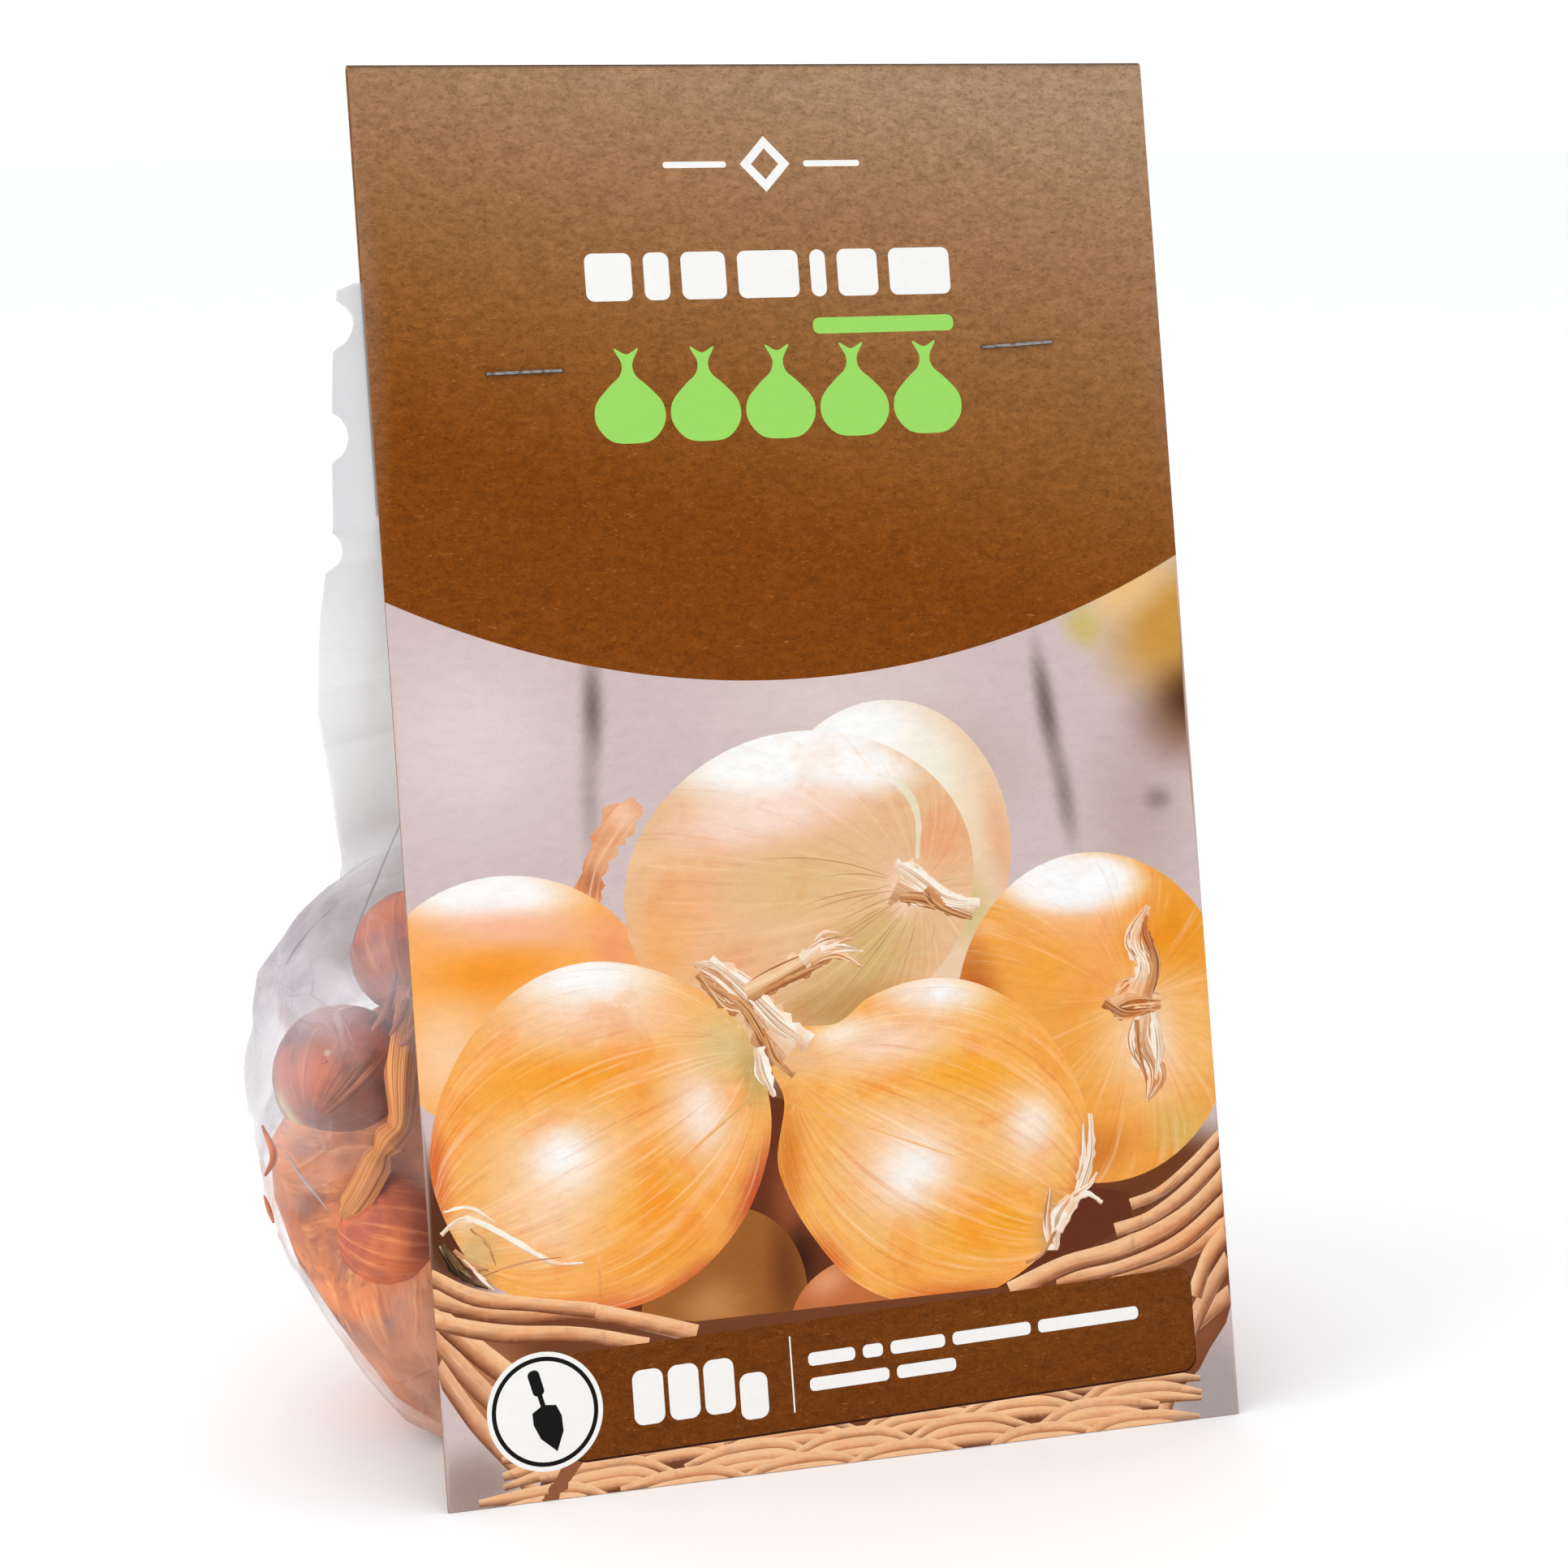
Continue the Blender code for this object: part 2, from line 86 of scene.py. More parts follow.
class Wire:
    """A socket in a finish's node tree. Operators add Math nodes, node() adds any other."""

    def __init__(self, tree, socket=None):
        self.tree, self.socket = tree, socket

    def node(self, kind, settings=None, inputs=None, out=0):
        made = self.tree.nodes.new(kind)
        for name, value in (settings or {}).items():
            setattr(made, name, value)
        for name, value in (inputs or {}).items():
            if isinstance(value, Wire):
                self.tree.links.new(value.socket, made.inputs[name])
            else:
                made.inputs[name].default_value = value
        return Wire(self.tree, made.outputs[out])

    def math(self, operation, *values, clamp=False):
        return self.node("ShaderNodeMath", {"operation": operation, "use_clamp": clamp}, dict(enumerate(values)))

    def __add__(self, other):
        return self.math("ADD", self, other)

    __radd__ = __add__

    def __sub__(self, other):
        return self.math("SUBTRACT", self, other)

    def __rsub__(self, other):
        return self.math("SUBTRACT", other, self)

    def __mul__(self, other):
        return self.math("MULTIPLY", self, other)

    __rmul__ = __mul__

    def __pow__(self, other):
        return self.math("POWER", self, other)

    def clamp(self):
        return self.math("ADD", self, 0.0, clamp=True)

    def here(self):
        """The place on the object itself."""
        return self.node("ShaderNodeTexCoord", out="Object")

    def between(self, low, high):
        """0 below low, 1 above high, smooth between."""
        return self.node(
            "ShaderNodeMapRange", {"interpolation_type": "SMOOTHSTEP"}, {0: self, 1: low, 2: high, 3: 0.0, 4: 1.0}
        )

    def attribute(self, name, out="Fac"):
        return self.node("ShaderNodeAttribute", {"attribute_name": name}, out=out)

    def noise(self, place, scale, detail=3.0, rough=0.5, distortion=0.0):
        return self.node(
            "ShaderNodeTexNoise",
            None,
            {"Vector": place, "Scale": scale, "Detail": detail, "Roughness": rough, "Distortion": distortion},
        )

    def stretch(self, place, factors):
        return self.node("ShaderNodeVectorMath", {"operation": "MULTIPLY"}, {0: place, 1: factors})

    def mix(self, share, first, second, way="MIX"):
        """Colours first and second mixed by share."""
        first = (*first, 1.0) if isinstance(first, tuple) and len(first) == 3 else first
        second = (*second, 1.0) if isinstance(second, tuple) and len(second) == 3 else second
        return self.node(
            "ShaderNodeMix", {"data_type": "RGBA", "blend_type": way}, {0: share, 6: first, 7: second}, out=2
        )

    def bump(self, height, strength, distance):
        return self.node("ShaderNodeBump", None, {"Strength": strength, "Distance": distance, "Height": height})


def linear(*srgb):
    """A colour given as it looks, 0 to 255, as the shader's own values."""
    return tuple((c / 255 / 12.92 if c <= 10 else ((c / 255 + 0.055) / 1.055) ** 2.4) for c in srgb)


def new_finish(name, **fixed):
    """A material, the start of its wiring, and feed(), which sets or links its shader's sockets."""
    look = bpy.data.materials.new(name)
    look.use_nodes = True
    shader = look.node_tree.nodes["Principled BSDF"]
    for socket, value in fixed.items():
        shader.inputs[socket.replace("_", " ")].default_value = value

    def feed(**sockets):
        for socket, value in sockets.items():
            look.node_tree.links.new(value.socket, shader.inputs[socket.replace("_", " ")])

    return look, Wire(look.node_tree), feed


def mesh_piece(name, points, faces, finishes):
    mesh = bpy.data.meshes.new(name)
    mesh.from_pydata([tuple(p) for p in points], [], [tuple(f) for f in faces])
    for finish in finishes:
        mesh.materials.append(finish)
    mesh.shade_smooth()
    obj = bpy.data.objects.new(name, mesh)
    bpy.context.scene.collection.objects.link(obj)
    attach(obj, "root")
    return obj


def write_field(obj, name, values):
    """A number, vector or colour at each point or corner of the mesh, for its finish to read."""
    values = np.ascontiguousarray(values, np.float32)
    kind, key = {1: ("FLOAT", "value"), 3: ("FLOAT_VECTOR", "vector"), 4: ("FLOAT_COLOR", "color")}[values[0].size]
    domain = "POINT" if len(values) == len(obj.data.vertices) else "CORNER"
    obj.data.attributes.new(name, kind, domain).data.foreach_set(key, values.reshape(-1))


def ring_faces(rings, sides):
    faces = []
    for a in range(0, (rings - 1) * sides, sides):
        for j in range(sides):
            k = (j + 1) % sides
            faces.append((a + j, a + k, a + sides + k, a + sides + j))
    return faces


def closed_tube(rings, sides):
    """Quads between the rings, then a flat face over each end."""
    last = (rings - 1) * sides
    return [*ring_faces(rings, sides), tuple(range(sides))[::-1], tuple(range(last, last + sides))]


def skin_finish(name, light, body, deep, ink, spots=(), pale=None):
    """Papery bulb skin: long veins from root to neck, blotches, specks, a straw-coloured neck; given a pale colour,
    also painted shade on the lower side and a pale rim.
    """
    look, wire, feed = new_finish(name, Roughness=0.5, Specular_IOR_Level=0.45, Coat_Weight=0.12, Coat_Roughness=0.3)
    grown = wire.attribute("grown", "Vector")
    along = wire.attribute("along")
    root = wire.attribute("rooty")
    here = wire.here()
    veins = wire.noise(wire.stretch(grown, (9.0, 9.0, 0.9)), 1.6, 4.0, 0.62)
    fine = wire.noise(wire.stretch(grown, (34.0, 34.0, 1.4)), 1.0, 3.0, 0.6)
    blotch = wire.noise(here, 95.0, 3.0, 0.55, 0.4)
    speck = wire.noise(here, 620.0, 2.0, 0.6)
    colour = wire.mix(blotch.between(0.38, 0.66), body, deep)
    colour = wire.mix(veins.between(0.5, 0.72) * 0.65, colour, light)
    colour = wire.mix(fine.between(0.56, 0.72) * 0.55, colour, deep)
    colour = wire.mix(speck.between(0.68, 0.74) * 0.7, colour, ink)
    if pale:
        # Painted shade: the lower side darkened towards the deep colour.
        colour = wire.mix(wire.attribute("shaded"), colour, deep)
        colour = wire.mix(wire.attribute("unripe"), colour, pale)
    for point, size in spots:
        away = wire.node("ShaderNodeVectorMath", {"operation": "DISTANCE"}, {0: here, 1: point}, out=1)
        colour = wire.mix(
            (1 - (away + blotch * 0.0006).between(size * MM * 0.6, size * MM * 1.4)) * 0.85, colour,
            linear(222, 200, 160)
        )
    straw = wire.mix(fine.between(0.4, 0.66), linear(244, 160, 78), linear(176, 96, 40))
    colour = wire.mix(along.between(0.86, 1.12), colour, straw)
    colour = wire.mix(
        root.between(0.25, 0.75), colour,
        wire.mix(fine.between(0.35, 0.65), linear(126, 88, 58), linear(188, 146, 104))
    )
    height = veins * 0.6 + fine * 0.5 + speck * 0.1
    feed(Base_Color=colour, Roughness=0.38 + 0.3 * fine, Normal=wire.bump(height, 0.75, 0.0006))
    return look


copper_skin = skin_finish(
    "copper_skin", linear(252, 160, 84), linear(226, 112, 42), linear(170, 68, 24), linear(104, 46, 22)
)
# The bulb that lies against the film by the card: plum, painted darker towards umber below as shade,
# a pale rim where its skin has split, and crumbs of dry soil.
spot_centre = Vector((bag_left + 15.6 * MM, card_face_y + 48.8 * MM, 56.6 * MM))
toward_film, sideways = Vector((-0.17, -0.96, 0.21)).normalized(), Vector((0.985, -0.17, 0.0)).normalized()
upward = sideways.cross(toward_film) * -1
soil = []
for u, v, size in (
    (-0.23, 0.39, 0.75), (-0.26, -0.12, 0.45), (-0.20, -0.16, 0.35), (-0.31, -0.22, 0.4), (0.05, 0.62, 0.3),
    (-0.12, -0.32, 0.3), (-0.40, 0.05, 0.28), (0.22, -0.30, 0.3)
):
    out = math.sqrt(1 - u * u - v * v)
    soil.append((spot_centre + (sideways * u + upward * v + toward_film * out) * 12.0 * MM, size))
plum_skin = skin_finish(
    "plum_skin", linear(240, 156, 120), linear(210, 110, 74), linear(118, 66, 44), linear(96, 54, 44), soil,
    linear(214, 196, 120)
)
pale_skin = skin_finish(
    "pale_skin", linear(255, 190, 112), linear(242, 146, 66), linear(210, 100, 38), linear(140, 68, 30)
)


def unit(x):
    """x held between 0 and 1."""
    return np.clip(x, 0, 1)


def lengths(rows):
    return np.linalg.norm(rows, axis=1)


def bulb_frame(node):
    """Centre, axis, radius and neck tip of a straight-necked set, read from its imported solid."""
    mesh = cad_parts[node].data
    mesh.calc_loop_triangles()
    points = np.array([v.co for v in mesh.vertices])
    corners = points[np.array([t.vertices for t in mesh.loop_triangles])]
    share = np.einsum("ij,ij->i", corners[:, 0], np.cross(corners[:, 1], corners[:, 2]))
    middle = (corners.sum(1) / 4 * share[:, None]).sum(0) / share.sum()
    axis = points[lengths(points - middle).argmax()] - middle
    for _ in range(3):
        axis /= np.linalg.norm(axis)
        level = (points - middle) @ axis
        tip = points[level > level.max() - 0.5 * MM].mean(0)
        foot = points[level < level.min() + 0.5 * MM].mean(0)
        axis = tip - foot
    axis /= np.linalg.norm(axis)
    out = lengths(points - foot - ((points - foot) @ axis)[:, None] * axis)
    r = float(out.max()) / WIDEST
    return foot + FOOT * r * axis, axis, r, tip


def curve_point(a, b, c, d, t):
    """The point a share t of the way from b to c, on the smooth curve through all four."""
    return 0.5 * (2 * b + (c - a) * t + (2 * a - 5 * b + 4 * c - d) * t * t + (3 * b - a - 3 * c + d) * t**3)


def smooth_route(points, steps):
    """Points evenly spread on a smooth curve through a few given ones."""
    points = [Vector(p) for p in points]
    ends = [points[0] * 2 - points[1], *points, points[-1] * 2 - points[-2]]
    made = []
    for i in range(len(ends) - 3):
        made += [curve_point(*ends[i : i + 4], step / steps) for step in range(steps)]
    return made + [points[-1]]


SEEN_SKINS = (plum_skin, copper_skin, copper_skin, pale_skin)  # the four sets beside the card
set_balls = []  # centres and radii that the film lies against
for number, node in enumerate(sorted(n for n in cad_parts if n.startswith("onion_set_"))):
    rng = np.random.default_rng(300 + number)
    if node in BENT_NECKS:
        route = [Vector((bag_left + x * MM, card_face_y + y * MM, z * MM)) for x, y, z in BENT_NECKS[node]]
        r = BENT_RADII[node] * MM
        centre, axis = route[0], (route[1] - route[0]).normalized()
    else:
        centre, axis, r, tip = bulb_frame(node)
        centre, axis, tip = Vector(centre), Vector(axis), Vector(tip)
        route = [centre, tip]
    set_balls.append((np.array(centre), r))
    start = centre + axis * NECK_START * r
    rest = [p for p in route[1:-1] if (p - centre).length > 1.3 * r] + [route[-1]]
    spine = smooth_route([start, *rest], 10)[1:]
    for k, p in enumerate(spine[::3]):
        reach = float(np.interp(3 * k / len(spine), *NECK_WIDTHS[node])) if node in NECK_WIDTHS else 0.16
        set_balls.append((np.array(p), reach * r))
    side = axis.orthogonal().normalized()
    turn = np.arange(SET_SIDES) * 2 * math.pi / SET_SIDES
    phase = rng.uniform(0, 2 * math.pi, 8)
    ribs = sum(np.cos(k * turn + phase[k]) / k for k in (3, 5, 7)) * 0.010
    pleat = (
        np.cos(4 * turn + phase[0]) * 0.5 + np.cos(7 * turn + phase[1]) * 0.35 + np.cos(11 * turn + phase[2]) * 0.2
    )
    squash = 1 + 0.02 * np.cos(2 * turn + phase[3])
    rows, grown, height, rooty = [], [], [], []
    other = axis.cross(side)
    flesh = [np.array(v) for v in (side, other)]
    for along, out in SET_PROFILE:
        neckish = max(0.0, min(1.0, (along - 0.62) / 0.4))
        wide = out * r * (squash + ribs * (1 - neckish) * min(1.0, out * 1.5) + 0.16 * pleat * neckish**1.5)
        rows.append(
            np.array(centre + axis * along * r)
            + wide[:, None] * (np.cos(turn)[:, None] * flesh[0] + np.sin(turn)[:, None] * flesh[1])
        )
        height.append(along)
        rooty.append(1.0 if along < -0.87 and number else 0.0)
    last = start
    for i, point in enumerate(spine):
        facing = (spine[min(i + 1, len(spine) - 1)] - last).normalized()
        side = (side - facing * side.dot(facing)).normalized()
        other = facing.cross(side)
        share = (i + 1) / len(spine)
        thin = 0.185 - 0.085 * share + 0.02 * math.sin(share * 9 + phase[4])
        if node in NECK_WIDTHS:
            thin = float(np.interp(share, *NECK_WIDTHS[node]))
        if share > 0.93:
            thin *= 0.75
        flat = 1 + 0.35 * np.cos(2 * turn + phase[5] + share * 2)
        wide = thin * r * (flat + 0.32 * pleat)
        if i == len(spine) - 1:
            wide *= 0.25
        rows.append(
            np.array(point)
            + wide[:, None] * (np.cos(turn)[:, None] * np.array(side) + np.sin(turn)[:, None] * np.array(other))
        )
        height.append(1.1 + share)
        rooty.append(0.0)
        last = point
    points = np.concatenate(rows)
    faces = closed_tube(len(rows), SET_SIDES)
    finish = SEEN_SKINS[number] if number < len(SEEN_SKINS) else (copper_skin, plum_skin, pale_skin)[number % 3]
    piece = mesh_piece(node.replace("onion", "dry"), points, faces, [finish])
    circle = np.stack([np.cos(turn + phase[6]), np.sin(turn + phase[6])], 1)
    field = np.concatenate(
        [np.concatenate([circle * 0.5, np.full((SET_SIDES, 1), h * 0.5 + number * 3.1)], 1) for h in height]
    )
    write_field(piece, "grown", field)
    write_field(piece, "along", np.repeat(height, SET_SIDES))
    write_field(piece, "rooty", np.repeat(rooty, SET_SIDES))
    if number == 0:
        out = (points - np.array(centre)) / r
        out /= lengths(out)[:, None]
        u, v, w = (out @ np.array(d) for d in (sideways, upward, toward_film))
        edge = np.exp(-(((w - 0.34) / 0.12) ** 2)) * unit((-v - 0.02) / 0.35) * unit((0.25 - u) / 0.4)
        write_field(piece, "unripe", unit(edge * 1.1))
        # Painted shade, strongest low on the bulb's lower side.
        write_field(piece, "shaded", unit((0.1 - v) / 0.7) * unit(0.75 - np.abs(u) * 0.3))
    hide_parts(node)

# ---------------------------------------------------------------------------
# Loose skins. Dry flakes shed by the sets settle in the gaps between them, so that the
# bag looks full from every side.
# ---------------------------------------------------------------------------
BAG_HALF_WIDTH = 78.4  # mm
SKIN_ROWS = (  # height, half width, middle of the depth, half depth, in mm
    (2.5, 52.5, 34, 20), (6, 58.4, 38, 25), (12, 62.6, 41, 28), (18, 66.6, 43, 29), (27, 71.8, 45.5, 28),
    (37, 74.8, 47.5, 24), (46, 75.2, 48.5, 17), (55, 70, 49, 11), (60, 60, 49, 8), (65, 44, 49.5, 3),
)


def lattice(points, size, seed):
    """Smooth random values from -1 to 1 at points, with bumps about size across."""
    table = np.random.default_rng(seed).uniform(-1, 1, 4096)
    p = points / size
    cell = np.floor(p).astype(int)
    t = p - cell
    t = t * t * (3 - 2 * t)
    total = np.zeros(len(points))
    for corner in range(8):
        step = np.array([corner & 1, corner >> 1 & 1, corner >> 2 & 1])
        weight = np.prod(np.where(step, t, 1 - t), axis=1)
        key = ((cell + step) * np.array([73856093, 19349663, 83492791])).sum(1) & 4095
        total += weight * table[key]
    return total


levels, SKIN_SIDES = np.linspace(2.5, 65, 50), 180
turn = 2 * math.pi * np.arange(SKIN_SIDES) / SKIN_SIDES
rows = []
for z in levels:
    wide, middle, deep = (np.interp(z, *np.array([(r[0], r[k]) for r in SKIN_ROWS]).T) for k in (1, 2, 3))
    round_to = np.sign(np.sin(turn)) * np.maximum(0, 1 - np.abs(np.cos(turn)) ** 2.4) ** (1 / 2.4)
    rows.append(
        np.stack(
            [
                bag_left + (BAG_HALF_WIDTH + wide * np.cos(turn)) * MM, card_face_y + (middle + deep * round_to) * MM,
                np.full(SKIN_SIDES, z * MM)
            ],
            1
        )
    )
points = np.concatenate(rows)
outward = np.stack([np.zeros(len(points)), np.tile(np.sin(turn), len(rows)), np.zeros(len(points))], 1)
points += outward * ((lattice(points, 15 * MM, 21) * 4.0 + np.abs(lattice(points, 6 * MM, 22)) * 1.6) * MM)[:, None]
faces = closed_tube(len(rows), SKIN_SIDES)
loose_skin = skin_finish(
    "loose_skin", linear(250, 170, 96), linear(224, 128, 62), linear(146, 78, 42), linear(84, 44, 30)
)
piece = mesh_piece("loose_skins", points, faces, [loose_skin])
swirl = np.stack([lattice(points, 17 * MM, k) for k in (23, 24, 25)], 1)
write_field(piece, "grown", points[:, [2, 1, 0]] * 16 + swirl * 0.35)

# ---------------------------------------------------------------------------
# Poly bag. Thin blown film, a little milky, gathered to a flat neck above and punched
# with vents down its left side; it clings to the bulbs and clouds where it stands off.
# ---------------------------------------------------------------------------
CARD_LEAN = math.radians(13.34)
SIN, COS, TAN = math.sin(CARD_LEAN), math.cos(CARD_LEAN), math.tan(CARD_LEAN)
card_low, card_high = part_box("header_card")
card_middle_x = (card_low.x + card_high.x) / 2
bag_middle_x = bag_left + BAG_HALF_WIDTH * MM
BOARD = 0.5  # mm
CARD_LIFT = BOARD * MM * SIN


def on_card(x, s, n):
    """World position from mm across the card, up it from its foot, and back from its face."""
    return Vector(
        (card_middle_x + x * MM, card_face_y + (s * SIN + n * COS) * MM, CARD_LIFT + (s * COS - n * SIN) * MM)
    )


FILM_ROWS = (  # height, half width, middle of the depth, half depth, squareness, rise at the middle, in mm
    (0.1, 47.8, 34.0, 23.8, 2.3, 0.0), (1.3, 54.1, 35.5, 28.3, 2.3, 0.0), (4.1, 58.8, 37.4, 32.2, 2.3, 0.0),
    (10.1, 63.2, 39.8, 35.5, 2.3, 0.0), (18.1, 68.1, 42.2, 36.6, 2.3, 0.0), (27.1, 73.5, 45.3, 37.2, 2.3, 0.0),
    (37.1, 76.8, 47.0, 36.8, 2.3, 0.0), (48.1, 78.2, 48.4, 35.3, 2.3, 0.5), (58.1, 77.4, 49.1, 33.7, 2.3, 1.6),
    (67.1, 76.5, 49.4, 31.7, 2.3, 3.4), (72.5, 75.6, 49.5, 30.0, 2.3, 5.2), (78.5, 72.4, 49.6, 26.6, 2.3, 8.1),
    (83.1, 68.4, 49.4, 21.8, 2.3, 10.6), (86.4, 64.9, 48.9, 17.0, 2.3, 12.2), (87.9, 62.1, 48.3, 14.5, 2.3, 12.6),
    (91.1, 62.6, 47.0, 10.2, 2.4, 13.0), (96.2, 63.5, 44.9, 6.1, 2.6, 12.0), (103.3, 64.7, 42.8, 3.2, 3.0, 9.5),
    (112.2, 66.2, 41.2, 1.3, 4.0, 5.5), (118.6, 67.3, 40.5, 0.7, 5.0, 2.6), (122.9, 67.2, 40.1, 0.48, 6.0, 1.5),
    (133.6, 66.7, 38.9, 0.32, 9.0, 0.0), (141.5, 65.9, 37.4, 0.26, 12.0, 0.0), (146.5, 65.0, 36.6, 0.26, 12.0, 0.0),
    (148.0, 64.8, 36.3, 0.25, 12.0, 0.0), (160.0, 64.2, 39.1, 0.25, 12.0, 0.0), (172.0, 63.2, 42.0, 0.25, 12.0, 0.0),
    (184.8, 61.6, 45.0, 0.25, 12.0, 0.0),
)
FILM_SIDES = 240
film_rows = []
for a, b in zip(FILM_ROWS, FILM_ROWS[1:]):
    steps = max(1, round((b[0] - a[0]) / (1.2 if b[0] < 100 else 0.6)))
    for step in range(steps):
        film_rows.append(np.array(a) * (1 - step / steps) + np.array(b) * step / steps)
film_rows.append(np.array(FILM_ROWS[-1]))
turn = 2 * math.pi * np.arange(FILM_SIDES) / FILM_SIDES
across = np.cos(turn)
facing = np.where(np.sin(turn) >= 0, 1.0, -1.0)
film = []
for z, a, y, b, square, arch in film_rows:
    depth = facing * b * np.maximum(0.0, 1 - np.abs(across) ** square) ** (1 / square)
    lift = arch * (1 - across**2)
    film.append(
        np.stack([bag_middle_x + a * MM * across, card_face_y + (y + depth + lift * TAN) * MM, (z + lift) * MM], 1)
    )
film = np.array(film)


def normals_of(grid):
    du = np.roll(grid, -1, 1) - np.roll(grid, 1, 1)
    dv = np.gradient(grid, axis=0)
    n = np.cross(du, dv)
    return n / (np.linalg.norm(n, axis=2, keepdims=True) + 1e-12)


def facets(around, up, cells, seed):
    """Heights from -1 to 1 over flat triangles with sharp folds between them; around runs 0 to 1 and closes."""
    table = np.random.default_rng(seed).uniform(-1, 1, (cells, 97))
    p, q = around * cells + up / 2, up
    i, j = np.floor(p).astype(int), np.floor(q).astype(int)
    u, v = p - i, q - j

    def at(di, dj):
        return table[(i + di) % cells, (j + dj) % 97]

    low = (1 - u - v) * at(0, 0) + u * at(1, 0) + v * at(0, 1)
    high = (u + v - 1) * at(1, 1) + (1 - v) * at(1, 0) + (1 - u) * at(0, 1)
    return np.where(u + v < 1, low, high)


film_normals = normals_of(film).reshape(-1, 3)
flat = film.reshape(-1, 3)
height_mm = flat[:, 2] / MM
around = np.tile(turn / (2 * math.pi), len(film))
body_share = unit((98 - height_mm) / 16) * unit(height_mm / 8)
sway = lattice(flat, 30 * MM, 3)
crumple = facets(around + 0.012 * sway, height_mm / 15 + 0.4 * sway, 22, 1) * 1.6
crumple += facets(around + 0.01 * sway, height_mm / 6.5 + 0.5 * sway, 52, 2) * 0.55
shoulder = unit((height_mm - 62) / 12)
crumple += facets(around, height_mm / 4.5 + sway, 70, 5) * 0.5 * shoulder
crumple = (crumple + 0.3) * body_share
# Down the neck the two films wave together, with pressed folds across them.
neck = unit((height_mm - 92) / 12)
wave = lattice(flat * np.array([0.7, 0.0, 1.0]), 10 * MM, 4) * 0.45 * np.clip((150 - height_mm) / 12, 0.12, 1)
for level, tilt, depth in (
    (176.0, 0.05, 0.25), (147.2, -0.04, 0.5), (142.0, 0.05, -0.6), (129.5, -0.1, 0.4), (121.0, 0.12, -0.5),
    (110.0, 0.2, 0.5)
):
    off = (height_mm - level - tilt * (flat[:, 0] - bag_left) / MM) / 1.3
    wave += depth * np.exp(-np.abs(off))
flat += film_normals * (crumple * MM)[:, None]
flat[:, 1] += wave * neck * MM

# The film stays behind the card's back and on the floor, and outside every bulb.
BULB_GAP, FLOOR_GAP, CARD_GAP = 0.25 * MM, 0.1 * MM, 0.15 * MM
for centre, r in set_balls:
    away = flat - centre
    distance = lengths(away)
    inside = distance < r + BULB_GAP
    flat[inside] = centre + away[inside] / distance[inside][:, None] * (r + BULB_GAP)
flat[:, 2] = np.maximum(flat[:, 2], FLOOR_GAP)
card_back = card_face_y + (flat[:, 2] - CARD_LIFT) * TAN + (BOARD * MM + CARD_GAP) / COS
flat[:, 1] = np.maximum(flat[:, 1], card_back)
gap = np.full(len(flat), 1.0)
for centre, r in set_balls:
    gap = np.minimum(gap, lengths(flat - centre) - r)
lifted = unit((height_mm - 59) / 11)
haze = unit((gap / MM - 5 + 3 * lifted) / (14 - 4.5 * lifted))
rim = (
    unit((np.abs(flat[:, 0] - bag_middle_x) / MM - 69) / 6) * unit((height_mm - 46) / 8) * unit((92 - height_mm) / 8)
)
haze = unit(haze + 0.55 * rim)
inward, behind = -normals_of(film).reshape(-1, 3), np.full(len(flat), 40 * MM)
inward *= np.sign(((np.array([bag_middle_x, card_face_y + 48 * MM, 45 * MM]) - flat) * inward).sum(1))[:, None]
for centre, r in set_balls:
    ahead = ((centre - flat) * inward).sum(1)
    aside = lengths(centre - flat - ahead[:, None] * inward)
    behind = np.where(
        (aside < r) & (ahead > 0), np.minimum(behind, ahead - np.sqrt(np.maximum(0, r * r - aside * aside))), behind
    )

# Neck's left edge: three half-round punched bites, and a torn mouth above.
MOUTH, VENT_FIRST, VENT_PITCH = 190.3, 6.1, 17.8  # mouth up the card, then down from it
for i, r in enumerate((4.3, 4.0, 3.4)):
    s = MOUTH - VENT_FIRST - i * VENT_PITCH
    spot = on_card(0, s, 1.15)
    off = (flat[:, 2] - spot.z) / MM
    edge = np.interp(spot.z / MM, [row[0] for row in FILM_ROWS], [row[1] for row in FILM_ROWS])
    bite = bag_middle_x - (edge + 1.4) * MM + np.sqrt(np.maximum(0, r * r - off * off)) * MM
    flat[:, 0] = np.where(np.abs(off) < r, np.maximum(flat[:, 0], bite), flat[:, 0])
top = unit((height_mm - 178) / 6.8)
flat[:, 2] += top * MM * (1.1 * facets(around, height_mm * 0, 44, 9) - 0.6)

film_look, wire, feed = new_finish("poly_film", Roughness=0.2, IOR=1.55, Specular_IOR_Level=0.6)
here = wire.here()
cloud = wire.attribute("haze")
wisps = wire.noise(here, 55.0, 4.0, 0.6, 0.8)
bent = wire.node(
    "ShaderNodeVectorMath", {"operation": "MULTIPLY_ADD"},
    {
        0: wire.node("ShaderNodeTexNoise", None, {"Vector": here, "Scale": 90.0, "Detail": 2.0}, out=1),
        1: (0.006, 0.006, 0.006), 2: here
    },
)
folds = wire.node("ShaderNodeTexVoronoi", {"feature": "DISTANCE_TO_EDGE"}, {"Vector": bent, "Scale": 75.0})
small_folds = wire.node("ShaderNodeTexVoronoi", {"feature": "DISTANCE_TO_EDGE"}, {"Vector": bent, "Scale": 190.0})
line = 1 - folds.between(0.0, 0.035)
small_line = 1 - small_folds.between(0.0, 0.05)
patch = wisps.between(0.42, 0.62)
ripple = wire.noise(wire.stretch(here, (1.0, 1.0, 0.5)), 170.0, 4.0, 0.55, 0.8)
loose = wire.attribute("creased")
warm = wire.attribute("warm")
level = wire.node("ShaderNodeSeparateXYZ", None, {0: here}, out=2)
upper, high = level.between(0.085, 0.108), level.between(0.12, 0.155)
milk = (0.03 + cloud ** 1.4 * (0.66 - 0.24 * upper) + wisps * 0.08 + line * loose * 0.04 + warm * 0.34).clamp()
